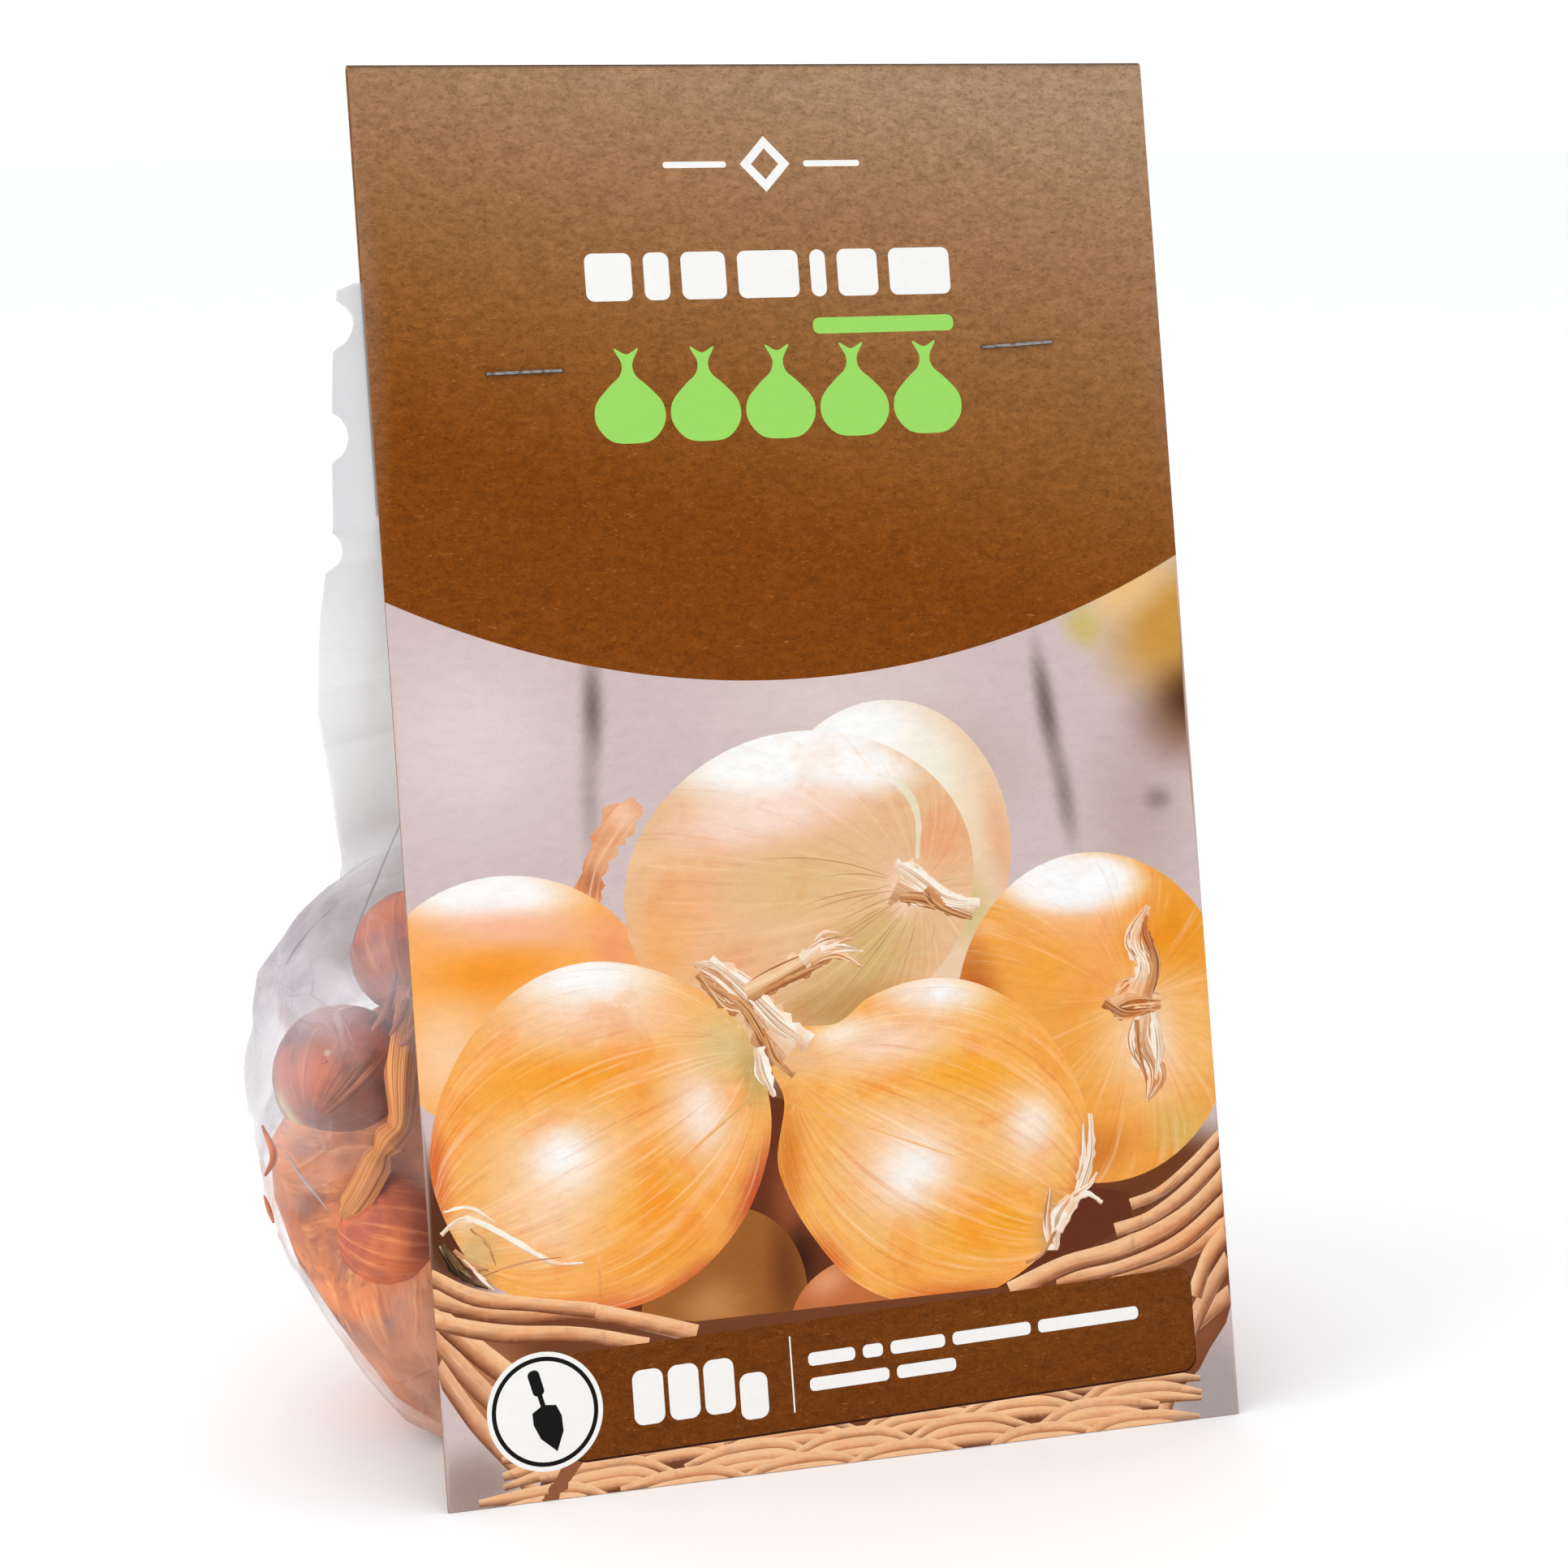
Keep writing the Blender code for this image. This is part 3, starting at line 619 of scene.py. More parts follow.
# Painted shade and light in the film's grey: darker over the bulbs and at the top of the neck, lighter low on the
# neck.
shaded_grey = wire.mix(
    upper, wire.mix(wisps.between(0.35, 0.65), linear(188, 184, 190), linear(158, 152, 161)),
    wire.mix(high, linear(228, 228, 228), linear(196, 196, 197))
)
tint = wire.mix(warm, shaded_grey, wire.mix(wisps.between(0.35, 0.65), linear(200, 146, 120), linear(160, 106, 84)))
height = ripple * 0.6 + line * loose * 0.4 + small_line * patch * loose * 0.2
feed(Base_Color=tint, Alpha=milk, Roughness=0.14 + 0.2 * wisps, Normal=wire.bump(height, 0.3, 0.001))

VENT_RADIUS, VENT_CUT = 4.0 * MM, 3.6 * MM  # a hole's edge, and the faces that go from within it
VENT_HEIGHTS, VENT_REACH = (47.5, 34.0), 18 * MM  # and how far in from the bag's left side a hole can lie
faces = ring_faces(len(film), FILM_SIDES)
middle_of = flat[np.array(faces)].mean(1)
punched = np.zeros(len(faces), bool)
for z in VENT_HEIGHTS:
    spot = np.array([bag_left, card_face_y + 50 * MM, z * MM])
    off = middle_of - spot
    punched |= (np.hypot(off[:, 1], off[:, 2]) < VENT_CUT) & (off[:, 0] < VENT_REACH)
    off = flat - spot
    far = np.hypot(off[:, 1], off[:, 2])
    near = (far < VENT_RADIUS) & (off[:, 0] < VENT_REACH)
    flat[near, 1:] = spot[1:] + off[near, 1:] / far[near][:, None] * VENT_RADIUS
faces = [f for f, gone in zip(faces, punched) if not gone]
faces.append(tuple(range(FILM_SIDES))[::-1])
bag = mesh_piece("film_bag", flat, faces, [film_look])
write_field(bag, "haze", haze)
write_field(bag, "creased", body_share)
low_down = unit((74 - height_mm) / 14)
write_field(bag, "warm", low_down * unit((behind - 8 * MM) / (6 * MM)) * unit((gap - 1.5 * MM) / (5 * MM)))
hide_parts("poly_bag")

# Flakes of skin lie folded against the film, which is itself pressed into fine creases; the creases are raised lines
# whose grey is painted shade.
FOLD_SIDES = 8
# Painted shade: a see-through grey for the crease lines.
crease_shade_look, wire, feed = new_finish("film_fold_shade", Roughness=0.3, Alpha=0.6)
feed(Base_Color=wire.mix(wire.noise(wire.here(), 260.0), linear(150, 150, 160), linear(206, 205, 212)))
front = np.tile(np.sin(turn) < 0, len(film))


def film_front(x, z):
    """Point of the front film at x from the bag's left side and at height z, in mm."""
    off = np.hypot(flat[:, 0] - bag_left - x * MM, flat[:, 2] - z * MM) + np.where(front, 0, 1)
    nearest = np.argsort(off)[:4]
    y = flat[nearest, 1].mean()
    return Vector((bag_left + x * MM, y - 0.15 * MM, z * MM))


papery = skin_finish(
    "papery_fold", linear(236, 168, 132), linear(210, 128, 92), linear(170, 90, 60), linear(120, 66, 50)
)


def fold(name, route, wide, finish=crease_shade_look):
    spine = smooth_route([p if isinstance(p, Vector) else film_front(*p) for p in route], 8)
    points = []
    for i, point in enumerate(spine):
        facing = (spine[min(i + 1, len(spine) - 1)] - spine[max(i - 1, 0)]).normalized()
        side = facing.cross(Vector((0, -1, 0.2))).normalized()
        up = side.cross(facing)
        thin = wide * MM * (0.25 + 0.75 * math.sin(math.pi * min(1.0, max(0.0, (i + 0.3) / len(spine))))) / 2
        for k in range(FOLD_SIDES):
            t = k * 2 * math.pi / FOLD_SIDES
            points.append(point + side * thin * math.cos(t) + up * thin * 0.5 * math.sin(t))
    piece = mesh_piece(name, points, closed_tube(len(spine), FOLD_SIDES), [finish])


for number, route in enumerate(
    (
        ((17, 68.5), (19.4, 72.5), (21.5, 78)), ((19.5, 68), (21.2, 71), (23.4, 75.5)),
        ((20.4, 66), (22.4, 68.2), (24.8, 71.6))
    )
):
    fold(
        f"skin_fold_{number + 1}", [film_front(x, z) + Vector((0, 3.2 * MM, 0)) for x, z in route], 1.3, papery,
    )
fold("fold_gusset", [(24.4, 100.2), (19.9, 89.8), (17.0, 85.5), (14.2, 80.4)], 0.45)
fold("fold_streak", [(3.0, 49.2), (5.4, 45.4), (8.3, 41.5)], 0.4)
fold("fold_shoulder", [(14.6, 87.0), (8.6, 81.1), (5.3, 76.5)], 0.35)
fold("vent_edge_1", [(0.5, 52.3), (1.6, 48.2), (0.9, 43.6)], 1.3, papery)
fold("vent_edge_2", [(1.0, 39.6), (2.3, 35.0)], 0.8, papery)

# ---------------------------------------------------------------------------
# Header card. Uncoated kraft board printed on its front: brown above a curved edge, a
# picture of onions in a wicker basket below it, and a brown band across the foot. One
# strip, folded over at the top, its back flap left plain.
# ---------------------------------------------------------------------------
CARD_WIDTH, CARD_HEIGHT, INNER_GAP, FLAP = 133.0, 224.0, 1.3, 70.0  # mm
FOLD_RADIUS = BOARD + INNER_GAP / 2
fold_start = CARD_HEIGHT - FOLD_RADIUS
STRIP = fold_start + math.pi * FOLD_RADIUS + (fold_start - (CARD_HEIGHT - FLAP))


def bend_card(x, d, depth):
    """World position of a point of the flat strip: x across, d along it, depth into the board."""
    if d <= fold_start:
        return on_card(x, d, depth)
    turn = (d - fold_start) / FOLD_RADIUS
    if turn < math.pi:
        r = FOLD_RADIUS - depth
        return on_card(x, fold_start + r * math.sin(turn), FOLD_RADIUS - r * math.cos(turn))
    return on_card(x, fold_start - (d - fold_start - math.pi * FOLD_RADIUS), 2 * FOLD_RADIUS - depth)


# Each printed region: outline, finish, and paint(x, s) giving its smooth colours; a later
# region lies over an earlier one.
regions = []


def region(outline, finish, paint, grown=None):
    regions.append((np.array(outline, float), finish, paint, grown))


def shade(ground, *spots):
    """A paint of soft spots on a ground colour: colour, x, s, half width, half height, turn, edge."""

    def paint(x, s):
        made = np.repeat(np.array([ground], float), len(x), 0)
        for spot in spots:
            colour, px, ps, a, b, turn, edge = (*spot, *(0, 1.0)[len(spot) - 5 :])  # unturned, soft to its middle
            c, q = math.cos(math.radians(turn)), math.sin(math.radians(turn))
            u = ((x - px) * c + (s - ps) * q) / a
            v = ((s - ps) * c - (x - px) * q) / b
            d = np.sqrt(u * u + v * v)
            share = unit((1 - d) / edge)
            share = (share * share * (3 - 2 * share))[:, None]
            made = made * (1 - share) + np.array(colour, float) * share
        return made

    return paint


def oval(x, s, a, b, turn=0.0, steps=72, wobble=0.0, seed=0):
    """Outline of an oval, turned by degrees, its edge swelling by up to about wobble."""
    rng = np.random.default_rng(seed)
    t = np.linspace(0, 2 * math.pi, steps, endpoint=False)
    out = 1 + wobble * sum(np.cos(k * t + rng.uniform(0, 6.28)) / k for k in (2, 3, 5))
    c, q = math.cos(math.radians(turn)), math.sin(math.radians(turn))
    u, v = a * out * np.cos(t), b * out * np.sin(t)
    return np.stack([x + u * c - v * q, s + u * q + v * c], 1)


def drawn_line(route, widths=(0.0,)):
    """A smooth line on the card: its points, the way it runs and its half width at each."""
    line = np.array([p[:2] for p in smooth_route([(x, s, 0) for x, s in route], 6)])
    way = np.gradient(line, axis=0)
    way /= lengths(way)[:, None] + 1e-9
    return line, way, np.interp(np.linspace(0, 1, len(line)), np.linspace(0, 1, len(widths)), widths)


def strand(route, widths, ragged=0.0, seed=0):
    """Outline of a strip along a route, its half width given at even steps."""
    rng = np.random.default_rng(seed)
    line, way, half = drawn_line(route, widths)
    normal = np.stack([-way[:, 1], way[:, 0]], 1)
    up = half * (1 + ragged * rng.uniform(-1, 1, len(line)))
    down = half * (1 + ragged * rng.uniform(-1, 1, len(line)))
    return np.concatenate([line + normal * up[:, None], (line - normal * down[:, None])[::-1]])


def paper(wire):
    """The board's own fibres, as a height and as a light and dark mottling."""
    flat_place = wire.here()
    long = wire.noise(wire.stretch(flat_place, (0.4, 1.0, 1.0)), 700.0, 5.0, 0.68, 0.6)
    fine = wire.noise(wire.stretch(flat_place, (0.6, 1.0, 1.0)), 2400.0, 3.0, 0.7, 1.0)
    return long, fine


def print_finish(name, mottle=0.10, veins=0.0, vein_scale=1.0, fleck=0.0):
    """Ink on board: the painted colour, broken by the board's fibres and by printed veins."""
    look, wire, feed = new_finish(name, Roughness=0.75, Specular_IOR_Level=0.08)
    ink = wire.attribute("ink", "Color")
    long, fine = paper(wire)
    grain = long * 0.65 + fine * 0.35
    colour = wire.mix(
        1.0, ink, wire.mix(grain.between(0.3, 0.7), (1 - mottle,) * 3, (1 + mottle * 0.5,) * 3), "MULTIPLY"
    )
    if veins:
        grown = wire.attribute("grown", "Vector")
        lines = wire.noise(wire.stretch(grown, (60.0 * vein_scale, 60.0 * vein_scale, 2.0)), 1.0, 4.0, 0.66)
        broad = wire.noise(wire.stretch(grown, (13.0 * vein_scale, 13.0 * vein_scale, 1.2)), 1.0, 3.0, 0.6)
        cloudy = wire.noise(wire.here(), 110.0, 4.0, 0.6, 0.5)
        colour = wire.mix(
            cloudy.between(0.50, 0.66) * veins * 0.8, colour, wire.mix(0.8, colour, linear(255, 176, 30), "MULTIPLY")
        )
        colour = wire.mix(
            lines.between(0.53, 0.72) * veins, colour, wire.mix(0.9, colour, linear(232, 152, 100), "MULTIPLY")
        )
        colour = wire.mix((1 - lines).between(0.54, 0.72) * veins * 0.7, colour, linear(255, 232, 200))
        colour = wire.mix(broad.between(0.54, 0.72) * veins * 0.6, colour, linear(255, 216, 178))
    if fleck:
        here = wire.here()
        cloudy = wire.noise(wire.stretch(here, (0.7, 1.0, 1.0)), 820.0, 5.0, 0.72, 0.3)
        hair = wire.noise(wire.stretch(here, (0.35, 1.0, 1.0)), 1500.0, 4.0, 0.7, 2.2)
        colour = wire.mix(
            cloudy.between(0.40, 0.64) * fleck * 0.7, colour, wire.mix(1.0, colour, (0.62, 0.60, 0.5), "MULTIPLY")
        )
        colour = wire.mix(
            fine.between(0.46, 0.66) * fleck * 0.9, colour, wire.mix(1.0, colour, (0.5, 0.46, 0.35), "MULTIPLY")
        )
        colour = wire.mix(
            hair.between(0.60, 0.70) * fleck * 0.9, colour, wire.mix(0.42, colour, linear(226, 150, 84))
        )
    feed(Base_Color=colour, Normal=wire.bump(grain, 0.25, 0.0002))
    return look


kraft_print = print_finish("kraft_print", mottle=0.20, fleck=0.75)
soft_print = print_finish("soft_print", mottle=0.07)
onion_print = print_finish("onion_print", mottle=0.09, veins=0.42)
pale_onion_print = print_finish("veined_onion_print", mottle=0.08, veins=0.26, vein_scale=0.8)
tuft_print = print_finish("dry_tuft_print", mottle=0.08, veins=0.75, vein_scale=2.0)
withy_print = print_finish("withy_print", mottle=0.10, veins=0.3, vein_scale=1.6)
solid_ink = print_finish("solid_ink", mottle=0.03)
PRINTS = [kraft_print, soft_print, onion_print, pale_onion_print, tuft_print, withy_print, solid_ink]


def bulb_places(cx, cs, r, pole_x, pole_s):
    """Place on the skin of a drawn bulb, counted round its neck-to-root axis."""
    axis = np.array([pole_x - cx, pole_s - cs]) / r
    reach = min(0.98, float(np.linalg.norm(axis)))
    axis3 = np.array([*(axis / (np.linalg.norm(axis) + 1e-9) * reach), math.sqrt(1 - reach**2)])
    one = np.cross(axis3, [0.0, 1.0, 0.3])
    one /= np.linalg.norm(one)
    two = np.cross(axis3, one)

    def places(x, s):
        u, v = (x - cx) / r, (s - cs) / r
        w = np.sqrt(np.maximum(0.02, 1 - u * u - v * v))
        p = np.stack([u, v, w], 1)
        p /= lengths(p)[:, None]
        a, b, c = p @ one, p @ two, p @ axis3
        out = np.sqrt(a * a + b * b) + 1e-3
        return np.stack([a / out * 0.5, b / out * 0.5, np.arctan2(c, out) * 0.5 + cx * 0.37], 1)

    return places


def strand_places(route):
    """Place on a drawn strip: across it and along it."""
    line, way, _ = drawn_line(route)
    gaps = lengths(np.diff(line, axis=0))
    run = np.concatenate([[0], np.cumsum(gaps)])

    def places(x, s):
        p = np.stack([x, s], 1)
        d = np.linalg.norm(p[:, None] - line[None], axis=2)
        near = d.argmin(1)
        off = p - line[near]
        side = off[:, 0] * -way[near, 1] + off[:, 1] * way[near, 0]
        return np.stack([side * 0.035, side * 0.012, run[near] * 0.03 + route[0][0]], 1)

    return places


# Ground of the picture: pale boards, out of focus, with dark gaps and one bulb far behind.
boards = shade(
    (212, 192, 190),
    ((226, 210, 208), -55, 118, 26, 24),
    ((222, 204, 200), 6, 122, 34, 14),
    ((200, 178, 174), 22, 108, 26, 16),
    ((196, 172, 170), 56, 100, 14, 26),
    ((120, 104, 98), -34.8, 122, 2.6, 13, -3),
    ((176, 158, 154), -36.2, 108, 2.4, 16, -3),
    ((118, 102, 96), 41.5, 118, 2.6, 15, 6),
    ((150, 132, 126), 43.6, 104, 2.6, 13, 6),
    ((150, 128, 124), 60, 102, 4, 3),
    ((120, 78, 54), 67, 117, 15, 13, 30),
    ((66, 34, 18), 68, 121, 9, 9, 30),
    ((206, 150, 66), 66, 131, 20, 13, 30, 0.8),
    ((242, 196, 130), 57, 137, 15, 7, 30),
    ((206, 186, 110), 49, 131, 5, 6, 35),
    ((120, 66, 34), -8, 46, 16, 22, 0, 0.5),
    ((112, 60, 30), 52, 36, 30, 16, 0, 0.5),
    ((92, 50, 28), -62, 44, 10, 16, 0, 0.6),
    ((164, 142, 134), -62, 3, 11, 9, 0, 0.8),
    ((174, 160, 157), 62, 4, 14, 16, 0, 0.8),
)
edge_x = CARD_WIDTH / 2
region([(-edge_x, 0), (edge_x, 0), (edge_x, STRIP), (-edge_x, STRIP)], soft_print, boards)

# Far bulbs, softer and paler, then the two in front; each with its own neck.
region(
    oval(12, 96, 21.5, 25, -12), soft_print,
    shade(
        (240, 206, 172), ((246, 228, 200), 22, 104, 12, 16), ((255, 255, 253), 9, 115, 20, 13, 0, 0.8),
        ((250, 242, 226), 20, 110, 9, 8, -40), ((214, 192, 130), 25, 87, 7, 10, 20),
        ((236, 180, 140), 32, 97, 4, 15, 8),
    ),
)
region(
    strand([(-38, 92), (-36, 98), (-32.5, 103), (-28.5, 107)], [2.6, 1.9, 2.2, 3.0, 1.2], 0.25, 5), tuft_print,
    shade((232, 168, 124), ((250, 205, 170), -31, 105, 4, 3, 40), ((190, 112, 70), -37, 95, 3, 4)),
    strand_places([(-38, 92), (-36, 98), (-32.5, 103), (-28.5, 107)]),
)
region(
    oval(-51, 77, 23, 20, -4), soft_print,
    shade(
        (252, 176, 96), ((255, 252, 250), -54, 94.5, 21, 7.5, -4, 0.7), ((252, 186, 150), -50, 88.5, 24, 5, -4),
        ((250, 152, 44), -54, 82, 17, 6, 4), ((255, 206, 160), -62, 70, 11, 13), ((244, 160, 110), -34, 84, 6, 9),
        ((250, 190, 150), -38, 76, 7, 6)
    ),
    bulb_places(-51, 77, 24, -40, 96),
)
region(
    oval(46.5, 67, 24.5, 27, 0), pale_onion_print,
    shade(
        (244, 168, 74), ((248, 170, 92), 46, 78, 20, 10, -8), ((240, 150, 30), 60, 80, 13, 12),
        ((246, 170, 66), 38, 76, 9, 7, 10), ((252, 186, 128), 45, 84.5, 18, 7, -6),
        ((255, 255, 255), 43.6, 89.6, 16.5, 6.9, -4, 0.5), ((192, 98, 36), 26, 70, 7, 20, 10),
        ((253, 213, 172), 56, 62, 15, 17), ((226, 180, 96), 60, 47, 9, 8), ((206, 112, 40), 40, 44, 16, 7, 15),
        ((250, 190, 110), 64, 64, 6, 14)
    ),
    bulb_places(46.5, 67, 27, 53, 69),
)
region(
    oval(-2.5, 92, 29.5, 24.5, 12, wobble=0.01, seed=3), pale_onion_print,
    shade(
        (236, 190, 146), ((244, 182, 128), -22, 90, 12, 18), ((246, 176, 112), -26, 84, 8, 12),
        ((250, 206, 180), -8, 104, 24, 8, 12), ((252, 224, 210), -6, 104.5, 25, 7, 10),
        ((255, 255, 253), -4, 113.6, 25, 8.6, 9, 0.6), ((255, 253, 250), 8, 111, 15, 6.4, -12, 0.7),
        ((228, 190, 132), -2, 92, 16, 9), ((212, 178, 112), 8, 80, 16, 11, 30), ((196, 150, 88), 4, 72, 20, 7),
        ((236, 178, 130), -14, 80, 10, 8), ((240, 170, 124), 22, 98, 7, 8, -30), ((250, 214, 186), 15, 90, 6, 7),
    ),
    bulb_places(-2.5, 92, 30, 17, 90),
)
region(
    strand([(11.5, 109), (15.8, 106.6), (17.9, 102), (17.4, 95)], (0.2, 0.8, 0.6, 0.3), 0.2, 8), soft_print,
    shade((234, 222, 188), ((250, 244, 232), 13, 108, 5, 4))
)
# Its veins, fine and dark, run out from the neck.
for step in range(34):
    turn_out = math.radians(150 + step * 7.1 + 3 * math.sin(step * 4.7))
    start_out = 5.2 + 1.6 * math.sin(step * 2.9)
    end_out = 14 + 7 * math.sin(step * 1.7 + 1) + (9 if step % 3 == 0 else 0)
    bow = 0.10 * math.sin(turn_out - 0.6)
    route = [
        (17 + math.cos(turn_out + bow * k) * d, 90 + math.sin(turn_out + bow * k) * d * 0.92)
        for k, d in enumerate(np.linspace(start_out, end_out, 4))
    ]
    if all(((x + 2.5) / 28.5) ** 2 + ((s - 92) / 23.6) ** 2 < 0.95 for x, s in route):
        region(
            strand(route, (0.04, 0.12, 0.09, 0.02)), soft_print,
            shade((200, 158, 104), ((222, 182, 132), *route[-1], 8, 8))
        )
region(
    [(-40, 20), (50, 20), (50, 38), (44, 39.5), (36, 40), (-12, 60), (-40, 40)], soft_print,
    shade((104, 50, 28), ((150, 80, 46), -8, 42, 5, 12), ((60, 28, 16), -7, 33, 4, 8))
)
region(
    oval(-20, 27, 13.5, 15.5, -20), soft_print,
    shade(
        (158, 96, 42), ((196, 134, 78), -22, 27, 9, 7), ((116, 62, 26), -9.5, 31, 5, 14),
        ((160, 96, 44), -28, 31, 10, 4, 20), ((164, 106, 60), -20, 20, 12, 4)
    ),
)
region(
    oval(4, 22, 13.5, 10.5, 0), soft_print,
    shade((196, 112, 62), ((230, 156, 112), -3, 29, 6, 4, 20), ((146, 74, 38), 8, 20, 9, 6)),
)


def blob(points, steps=8):
    """Closed smooth outline through points."""
    ring = [Vector((x, s, 0)) for x, s in points]
    made = []
    for i in range(len(ring)):
        a, b, c, d = (ring[(i + k) % len(ring)] for k in (-1, 0, 1, 2))
        made += [curve_point(a, b, c, d, step / steps)[:2] for step in range(steps)]
    return made


def rod(route, widths, light, middle, dark, finish=withy_print, ragged=0.0, seed=0):
    """A drawn round strip, light along its upper side and dark along its lower one."""
    line, way, wide = drawn_line(route, widths)
    if way[:, 0].sum() < 0:
        way = -way
    light, middle, dark = (np.array(c, float) for c in (light, middle, dark))

    def paint(x, s):
        p = np.stack([x, s], 1)
        near = np.linalg.norm(p[:, None] - line[None], axis=2).argmin(1)
        off = p - line[near]
        side = (off[:, 1] * way[near, 0] - off[:, 0] * way[near, 1]) / (wide[near] + 1e-6)
        up = unit((side + 0.1) / 0.75)[:, None]
        down = unit((-side - 0.05) / 0.85)[:, None]
        return middle + (light - middle) * up * (1.25 - up * 0.5) + (dark - middle) * down

    region(strand(route, widths, ragged, seed), finish, paint, strand_places(route))


# The two bulbs in front. The left one turns its root plate out, the right one its neck.
region(
    blob(
        [
            (-65.6, 52), (-63.5, 63), (-57, 73.5), (-48, 80.3), (-38, 82.6), (-28, 80.6), (-19, 75.6), (-13, 68.5),
            (-10.3, 58), (-11.5, 49), (-16.5, 39.5), (-25, 32), (-36, 28.2), (-48, 29.6), (-57, 34), (-62.5, 41.5)
        ]
    ),
    onion_print,
    shade(
        (250, 176, 90), ((252, 200, 152), -44, 41, 19, 11, -10), ((250, 160, 42), -44, 64, 24, 9, 8),
        ((250, 164, 46), -33, 45, 17, 13, 20), ((248, 164, 62), -32, 36, 20, 6, 4),
        ((252, 210, 176), -38, 74, 27, 9, -3), ((255, 255, 255), -39, 80.5, 21, 7.5, -2, 0.9),
        ((253, 218, 184), -45, 51, 19, 17), ((255, 252, 248), -44.5, 52.5, 8, 7.5),
        ((252, 214, 184), -22, 58, 10, 15, 5), ((255, 234, 216), -21, 57.5, 5, 7.5, 5),
        ((226, 196, 136), -17, 68, 9, 9, -40), ((196, 170, 104), -12.5, 63, 4, 9, 10),
        ((222, 110, 52), -65, 53, 3.6, 17, 4), ((226, 118, 60), -38, 28, 26, 4.6, 2),
        ((196, 84, 46), -12.5, 45, 5, 17, -28), ((206, 96, 50), -24, 31.5, 12, 4, 28),
        ((222, 184, 124), -60, 39, 8, 6, 35), ((240, 208, 160), -60.5, 44, 5, 3, 20),
        ((150, 116, 66), -61, 36.5, 6, 2.6, -30),
    ),
    bulb_places(-38, 55.3, 27.8, -13, 66),
)
region(
    blob(
        [
            (-9.6, 50), (-7.9, 58), (-9.5, 63), (-10, 68), (-4, 69.6), (2, 69.8), (8, 73.6), (17, 75.6), (26, 74.2),
            (35, 68.4), (41, 59.5), (43.6, 50), (42, 41), (37.5, 33), (30, 27), (20, 23.4), (10, 24.2), (1, 29),
            (-5.5, 37.5), (-9, 45)
        ]
    ),
    onion_print,
    shade(
        (250, 178, 86), ((250, 168, 44), 18, 60, 24, 6), ((250, 166, 40), 22, 36, 20, 9),
        ((253, 214, 184), 10, 66, 21, 9, 8), ((255, 255, 255), 18, 73.5, 15, 5.5, -6, 0.9),
        ((255, 236, 214), 2, 68, 9, 3.4, 12), ((253, 214, 182), 12, 46, 20, 18, 20),
        ((255, 252, 248), 13, 45, 9, 8.5, 20), ((252, 208, 166), 33, 49, 10, 13, 10),
        ((255, 236, 216), 34, 51, 6.5, 6.5, 10), ((222, 130, 44), -8, 48, 4.2, 17, -4),
        ((222, 122, 54), -3, 33, 8, 4.6, -50), ((216, 108, 48), 18, 23.5, 22, 4.4),
        ((206, 100, 54), 42.8, 42, 3.6, 15, -14), ((206, 150, 96), 36, 34, 4, 8, -10),
        ((238, 186, 134), -5, 65, 7, 5.5), ((226, 176, 104), -9, 66, 4, 4),
    ),
    bulb_places(17, 49.5, 27.0, -8, 64),
)

TORN = 0.34  # how ragged a dry strand's edge is, as a share of its width
DRY_TONES = {  # light, middle and dark
    "straw": ((255, 236, 216), (236, 196, 158), (206, 150, 106)),
    "tan": ((248, 212, 172), (228, 178, 126), (190, 128, 78)),
    "umber": ((222, 164, 110), (196, 130, 80), (160, 98, 56)),
    "cream": ((255, 248, 236), (250, 232, 210), (228, 190, 156)),
    "dark": ((120, 92, 60), (84, 62, 38), (44, 30, 18)),
}


def tuft(*strands):
    """Dry necks, roots and torn skin: ragged strips, each with fine fibres drawn along it."""
    for route, widths, tone in strands:
        light, middle, dark = DRY_TONES[tone]
        rod(route, widths, light, middle, dark, tuft_print, TORN, 40 + len(regions))
        rng = np.random.default_rng(500 + len(regions))
        for k in range(round(max(widths) * 5)):
            off = rng.uniform(-0.95, 0.95)
            first, last = rng.uniform(0, 0.35), rng.uniform(0.7, 1.06)
            line = smooth_route([(x, s, 0) for x, s in route], 5)
            made = []
            for share in np.linspace(first, min(last, 1.0), 5):
                at = share * (len(line) - 1)
                one, two = line[int(at)], line[min(int(at) + 1, len(line) - 1)]
                here, facing = one.lerp(two, at % 1), (line[-1] - line[0]).normalized()
                wide = float(np.interp(share, np.linspace(0, 1, len(widths)), widths))
                aside = off * wide * (1.0 + 0.25 * math.sin(share * 5 + k))
                made.append((here.x - facing.y * aside, here.y + facing.x * aside))
            tint = (light, light, dark, tuple(0.9 * c for c in dark))[k % 4]
            region(strand(made, (0.05, 0.16, 0.12, 0.04)), tuft_print, shade(tint))


tuft(  # between the front bulbs: the right bulb's neck, bent up and left
    (((-8, 71), (-12, 74), (-16, 76), (-20, 80)), (2.2, 2.0, 2.6, 1.4), "tan"),
    (((-6, 66), (-10, 70), (-13, 75), (-17, 79), (-21, 81)), (3.4, 2.8, 2.4, 2.0, 0.5), "straw"),
    (((-3, 67), (-8, 71), (-13, 76.5), (-18.5, 81.5)), (1.5, 1.7, 1.2, 0.7), "cream"),
    (((-9, 64), (-11, 69), (-14, 74), (-19, 77.5)), (1.1, 0.9, 0.7, 0.2), "umber"),
    (((-11.5, 67), (-11, 63), (-9.4, 59)), (1.0, 1.4, 0.3), "cream"),
    (((-6, 62), (-9, 65), (-10.5, 70)), (0.5, 0.6, 0.2), "umber"),
)
